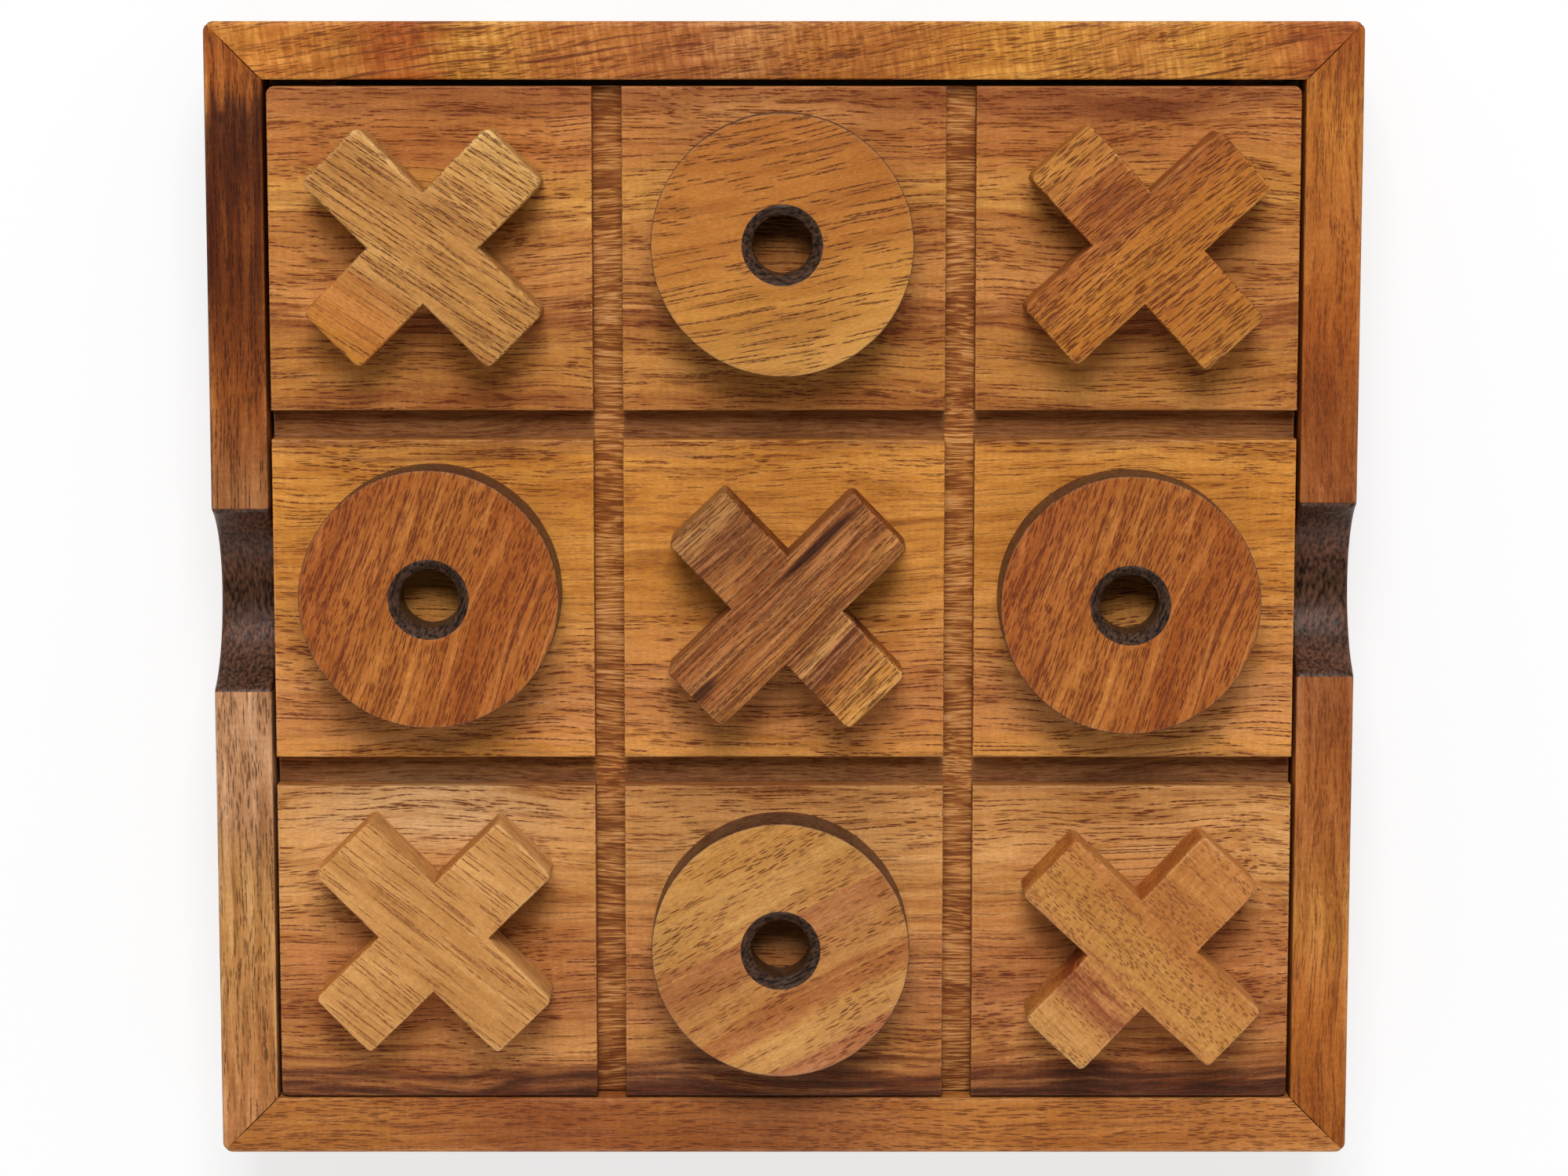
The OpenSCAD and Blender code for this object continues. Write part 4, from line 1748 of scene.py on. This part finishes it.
# Each plank is acacia unless its name says otherwise. The comments say what its wood and its
# working give the eye. All of it that shows in the closed game is sanded and oiled to a satin.
PLANKS = (
    # Planed, routed and oiled: golden bands with red ones by the grooves, drifts of open pores, a
    # calm stretch through the middle row, pale heart, a dark mineral streak in the front, and a
    # dark cloud before the front ring that is partly dark wood and partly its painted shadow.
    Plank(
        "oiled_acacia_board",
        "board_wood",
        (
            (-90, "#3c2010"), (-85, "#56301c"), (-81, "#9c6032"), (-77, "#b87c42"),
            (-72, "#aa6c3c"), (-68, "#b0723e"), (-60, "#b67642"), (-54, "#ba7c44"),
            (-49, "#c48c50"), (-42, "#ce965a"), (-35, "#c68c50"), (-30, "#a26c3a"),
            (-25, "#c88740"), (-21, "#c48246"), (-17, "#b67640"), (-13, "#c2824a"),
            (-9, "#c48344"), (0, "#c2823e"), (9, "#c27e34"), (20, "#be7a30"),
            (27, "#c68438"), (31, "#a0662f"), (35, "#a2642e"), (42, "#b07434"),
            (48, "#ac7034"), (51, "#86481f"), (55, "#ba7c40"), (68, "#b07236"),
            (74, "#c48a42"), (80, "#ae6c34"), (85, "#b27238"), (90, "#985a2c"),
        ),
        patches=(
            Patch("#7a3e1a", 62, 86, 28, 4, 0.8),
            Patch("#b6722f", 62, 72, 26, 6, 0.5),
            Patch("#be8046", 0, 85, 26, 4, 0.8),
            Patch("#be823e", 62, 38, 26, 5, 0.6),
            Patch("#945428", -62, 35, 26, 3, 0.5),
            Patch("#c28238", 0, 10, 130, 17, 0.7, calm=0.65),
            Patch("#be7c3c", 0, -52, 90, 14, 0.3, calm=0.6),
            Patch("#d4a874", -62, -39, 28, 9, 0.85),
            Patch("#be8a52", -62, -56, 26, 8, 0.6),
            Patch("#965834", 40, -70, 60, 3, 0.5),
            # Partly dark wood, partly the front ring's cast shadow painted in front of it.
            Patch("#4a2a1c", 0, -84, 30, 5, 0.7),
        ),
        vessel="#662c12",
        wave=1.8,
        dashes=1.0,
        dash_length=5.0,
        dash_gap=0.36,
        lines=0.95,
        line_every=1.5,
        drift=0.5,
        ruddy=0.22,
        # On the board the scorch mark lays only painted shade, on the floors of its grooves.
        marks=(Mark.EASED, Mark.ROUTED, Mark.SCORCHED),
        seed=1,
    ),
    # Planed and oiled across a curl: orange gold that shimmers in cross stripes, with red seams.
    Plank(
        "oiled_acacia_back_rail",
        "back_rail_wood",
        (
            (-100, "#a86a2c"), (-86, "#b4742e"), (-79, "#b8722e"), (-66, "#b2702e"),
            (-58, "#a85e28"), (-50, "#b67a30"), (-40, "#c2843a"), (-30, "#a6642a"),
            (-20, "#a6642c"), (-6, "#9e5c2c"), (4, "#b0723c"), (14, "#aa682c"),
            (26, "#a8662a"), (38, "#b2722c"), (50, "#c4883a"), (60, "#be8036"),
            (70, "#b47432"), (80, "#c28638"), (90, "#be7c38"), (100, "#a65e2a"),
        ),
        fibre_turn=9,
        band_turn=-9,
        curl=0.45,
        seams=0.85,
        seam_width=0.8,
        wave=1.6,
        wave_length=50,
        patches=(Patch("#a65a22", -64, 10, 9, 9, 0.8),),
        seed=2,
    ),
    # Planed and oiled: an even tan orange with short dark pores, browner in its middle.
    Plank(
        "oiled_acacia_front_rail",
        "front_rail_wood",
        (
            (-100, "#b07238"), (-80, "#b8783e"), (-67, "#b2723a"), (-54, "#ae6e36"),
            (-40, "#b47438"), (-26, "#be7e40"), (-13, "#ad6d37"), (0, "#9a5e32"),
            (14, "#985c31"), (28, "#a06230"), (42, "#9a5a2e"), (55, "#92542a"),
            (69, "#a46432"), (82, "#b2743a"), (100, "#b07238"),
        ),
        band_turn=0,
        drift=0.2,
        seed=3,
    ),
    # Planed and oiled: dark heartwood streaks at the back that run out into pinkish tan.
    Plank(
        "oiled_acacia_left_rail",
        "left_rail_wood",
        (
            (-100, "#ac6e46"), (-78, "#b27846"), (-50, "#be8a52"), (-38, "#b5834f"),
            (-30, "#b2825a"), (-22, "#ba8a62"), (-15, "#b88860"), (12, "#b07850"),
            (20, "#aa7048"), (28, "#a06a3e"), (36, "#90542a"), (44, "#8a4c1e"),
            (52, "#763c14"), (64, "#5a2806"), (74, "#5a2808"), (88, "#542606"),
            (93, "#5e3014"), (97, "#94521f"), (100, "#9a5622"),
        ),
        band_turn=0,
        marks=SCORCHED_PIECE,
        streaks=0.55,
        vessel="#2c1006",
        deep="#341606",
        dashes=0.7,
        seams=0.4,
        wave=0.8,
        seed=4,
    ),
    # Planed and oiled: red orange with a browner stretch beside the scoop.
    Plank(
        "oiled_acacia_right_rail",
        "right_rail_wood",
        (
            (-100, "#a45c22"), (-84, "#a05c24"), (-76, "#ae6c2a"), (-66, "#ac6828"),
            (-57, "#a46026"), (-47, "#a45e24"), (-37, "#a45c24"), (-25, "#8c4c1e"),
            (-18, "#925224"), (18, "#a06238"), (30, "#9a5c30"), (40, "#a2602c"),
            (50, "#a0602e"), (60, "#a86a30"), (69, "#b67838"), (75, "#b87438"),
            (82, "#ac662a"), (100, "#985620"),
        ),
        band_turn=0,
        dashes=0.65,
        marks=SCORCHED_PIECE,
        seams=0.4,
        wave=1.6,
        seed=5,
    ),
    # Plywood, sanded and left bare: a pale, matt face with faint, close-grained streaks.
    Plank(
        "sanded_plywood_base",
        "base_plywood",
        ((-90, "#c49a68"), (90, "#bd9160")),
        dashes=0.3,
        lines=0.25,
        seams=0.15,
        streaks=0.4,
        rough=0.7,
        seed=6,
    ),
    # Hardwood offcuts, planed and left bare: pale and matt, with open pores.
    Plank(
        "planed_hardwood_block",
        "block_wood",
        ((-8, "#a87844"), (8, "#b98a54")),
        rough=0.65,
        seed=7,
    ),
    # Sawn, sanded and oiled: light tan with close, long dark lines.
    Plank(
        "oiled_acacia_tan_cross",
        "tan_cross_wood",
        (
            (-22, "#be8232"), (-16, "#b87632"), (-10, "#ae7034"), (-7, "#b88448"),
            (0, "#bc884a"), (6, "#b88346"), (9, "#b07c42"), (16, "#bc884a"),
            (22, "#c29252"),
        ),
        fibre_turn=-78,
        streaks=0.15,
        vessel="#5e3014",
        dashes=0.3,
        lines=0.95,
        line_every=0.8,
        line_length=90,
        seams=0.15,
        wave=0.5,
        wave_length=60,
        patches=(Patch("#b9773a", -3, -15, 16, 6, 0.5, calm=0.6),),
        seed=8,
    ),
    # Sawn, sanded and oiled: orange brown, full of short open pores.
    Plank(
        "oiled_acacia_orange_cross",
        "orange_cross_wood",
        (
            (-22, "#aa7238"), (-18, "#b07430"), (-8, "#ae6c2c"), (0, "#b6762e"),
            (6, "#ac6a2c"), (9, "#9e5c28"), (14, "#a26028"), (17, "#ac6a32"),
            (22, "#b67a38"),
        ),
        fibre_turn=-3,
        streaks=0.3,
        vessel="#5e2a10",
        dashes=0.95,
        dash_gap=0.36,
        drift=0.1,
        lines=0.8,
        line_every=1.1,
        wave=0.7,
        patches=(Patch("#8a4c26", 0, 11.5, 6, 3.5, 0.7),),
        seed=9,
    ),
    # Sawn, sanded and oiled heartwood: red brown stripes with near-black seams and streaks.
    Plank(
        "oiled_acacia_dark_cross",
        "dark_cross_wood",
        (
            (-22, "#be843e"), (-15, "#ba7e3e"), (-12, "#9c602e"), (-9.5, "#6a381a"),
            (-8, "#966038"), (-6, "#ae7840"), (-4, "#865028"), (-1.5, "#b4783e"),
            (1, "#94582c"), (4, "#ac7240"), (7, "#9a5e32"), (14, "#ae7440"),
            (17, "#86522c"), (20, "#986238"), (22, "#ae7c48"),
        ),
        streaks=0.5,
        deep="#4a2410",
        vessel="#542a12",
        dashes=0.6,
        lines=0.9,
        line_every=0.7,
        seams=0.75,
        seam_width=0.55,
        wave=0.6,
        patches=(
            Patch("#2e140a", 12, 4.5, 12, 1.2, 0.9),
            Patch("#341a0e", -20, 0, 4, 1.5, 0.8),
        ),
        seed=10,
    ),
    # Sawn, sanded and oiled sapwood: pale gold with a few thin brown lines.
    Plank(
        "oiled_acacia_pale_cross",
        "pale_cross_wood",
        ((-22, "#c69054"), (22, "#c89256")),
        fibre_turn=-83,
        streaks=0.12,
        vessel="#8a5228",
        dashes=0.15,
        lines=0.95,
        line_every=1.2,
        line_length=30,
        seams=0.05,
        wave=0.4,
        seed=11,
    ),
    # Sawn, sanded and oiled: light gold flecked with short pores, with one red growth band.
    Plank(
        "oiled_acacia_golden_cross",
        "golden_cross_wood",
        (
            (-22, "#be8c4e"), (-12.5, "#bc8248"), (-10.5, "#a66a3c"), (-8.8, "#945632"),
            (-7.6, "#864828"), (-6.6, "#a4663a"), (-5, "#b67a44"), (-2, "#be8648"),
            (4, "#c08848"), (8, "#b87a40"), (22, "#bc7e44"),
        ),
        fibre_turn=-90,
        streaks=0.2,
        vessel="#7a4422",
        dashes=0.8,
        dash_length=1.5,
        dash_gap=0.42,
        drift=0.3,
        ruddy=0.05,
        lines=0.6,
        line_every=2.6,
        curl=0.2,
        seams=0.1,
        wave=1.2,
        wave_length=30,
        seed=12,
    ),
    # Sawn, sanded and oiled: gold that turns orange at one side, with long wavy dark lines.
    Plank(
        "oiled_acacia_golden_ring",
        "golden_ring_wood",
        ((-22, "#bc8846"), (-6, "#b87e38"), (3, "#a6682a"), (22, "#a6662a")),
        fibre_turn=11,
        streaks=0.12,
        dashes=0.2,
        drift=0.55,
        vessel="#5a2c12",
        lines=1.0,
        line_every=1.6,
        seams=0.2,
        wave=1.2,
        curl=0.04,
        marks=SCORCHED_PIECE,
        seed=13,
    ),
    # Sawn, sanded and oiled: red brown, streaked and full of steep dark red dashes.
    Plank(
        "oiled_acacia_red_ring",
        "red_ring_wood",
        ((-22, "#ae6a30"), (-8, "#a6602a"), (6, "#ae6c30"), (22, "#a6602c")),
        fibre_turn=70,
        streaks=0.26,
        vessel="#642812",
        dashes=0.9,
        dash_length=3.4,
        dash_gap=0.32,
        drift=0.2,
        ruddy=0.28,
        lines=0.8,
        line_every=1.4,
        seams=0.65,
        seam_width=1.0,
        wave=1.2,
        marks=SCORCHED_PIECE,
        seed=14,
    ),
    # Sawn, sanded and oiled: slanted bands from tan to pinkish brown, with short dashes.
    Plank(
        "oiled_acacia_tan_ring",
        "tan_ring_wood",
        (
            (-22, "#ae703a"), (-17, "#b0724a"), (-14, "#bc884e"), (-10.5, "#ba8446"),
            (-9, "#a66838"), (-6.5, "#a26434"), (-5, "#b07840"), (-1, "#b47c44"),
            (2, "#aa7040"), (4, "#a66a3c"), (7, "#a86c3e"), (8.5, "#b88246"),
            (14, "#be8c4e"), (22, "#ba8444"),
        ),
        fibre_turn=29,
        streaks=0.12,
        dashes=0.9,
        dash_length=3.0,
        drift=0.4,
        lines=0.3,
        seams=0.1,
        wave=0.8,
        marks=SCORCHED_PIECE,
        seed=15,
    ),
)

LOOSE_PIECES = (
    Cross("cross_back_left", "tan_cross", "tan_cross_wood", 0.0, corner=1.4, ease=0.7, seed=21),
    Cross("cross_back_right", "orange_cross", "orange_cross_wood", -2.5, seed=22),
    Cross("cross_centre", "dark_cross", "dark_cross_wood", -1.0, seed=23),
    Cross("cross_front_left", "pale_cross", "pale_cross_wood", -0.5, seed=24),
    Cross("cross_front_right", "golden_cross", "golden_cross_wood", 1.7, seed=25),
    Ring("ring_back", "golden_ring", "golden_ring_wood", seed=31),
    Ring("ring_left", "red_ring_left", "red_ring_wood", seed=32),
    Ring("ring_right", "red_ring_right", "red_ring_wood", seed=33),
    Ring("ring_front", "tan_ring", "tan_ring_wood", seed=34),
)


def main() -> None:
    """Builds the game round the frame and writes how large it came out."""
    logging.basicConfig(level=logging.INFO, format="%(name)s: %(message)s")
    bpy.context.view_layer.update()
    bpy.context.scene.view_settings.view_transform = "Standard"
    materials = {plank.slot: plank.material() for plank in PLANKS}
    Tray().build(materials)
    Board().build(materials)
    for piece in LOOSE_PIECES:
        piece.build(materials)
    Studio().build()


if __name__ == "__main__":
    main()
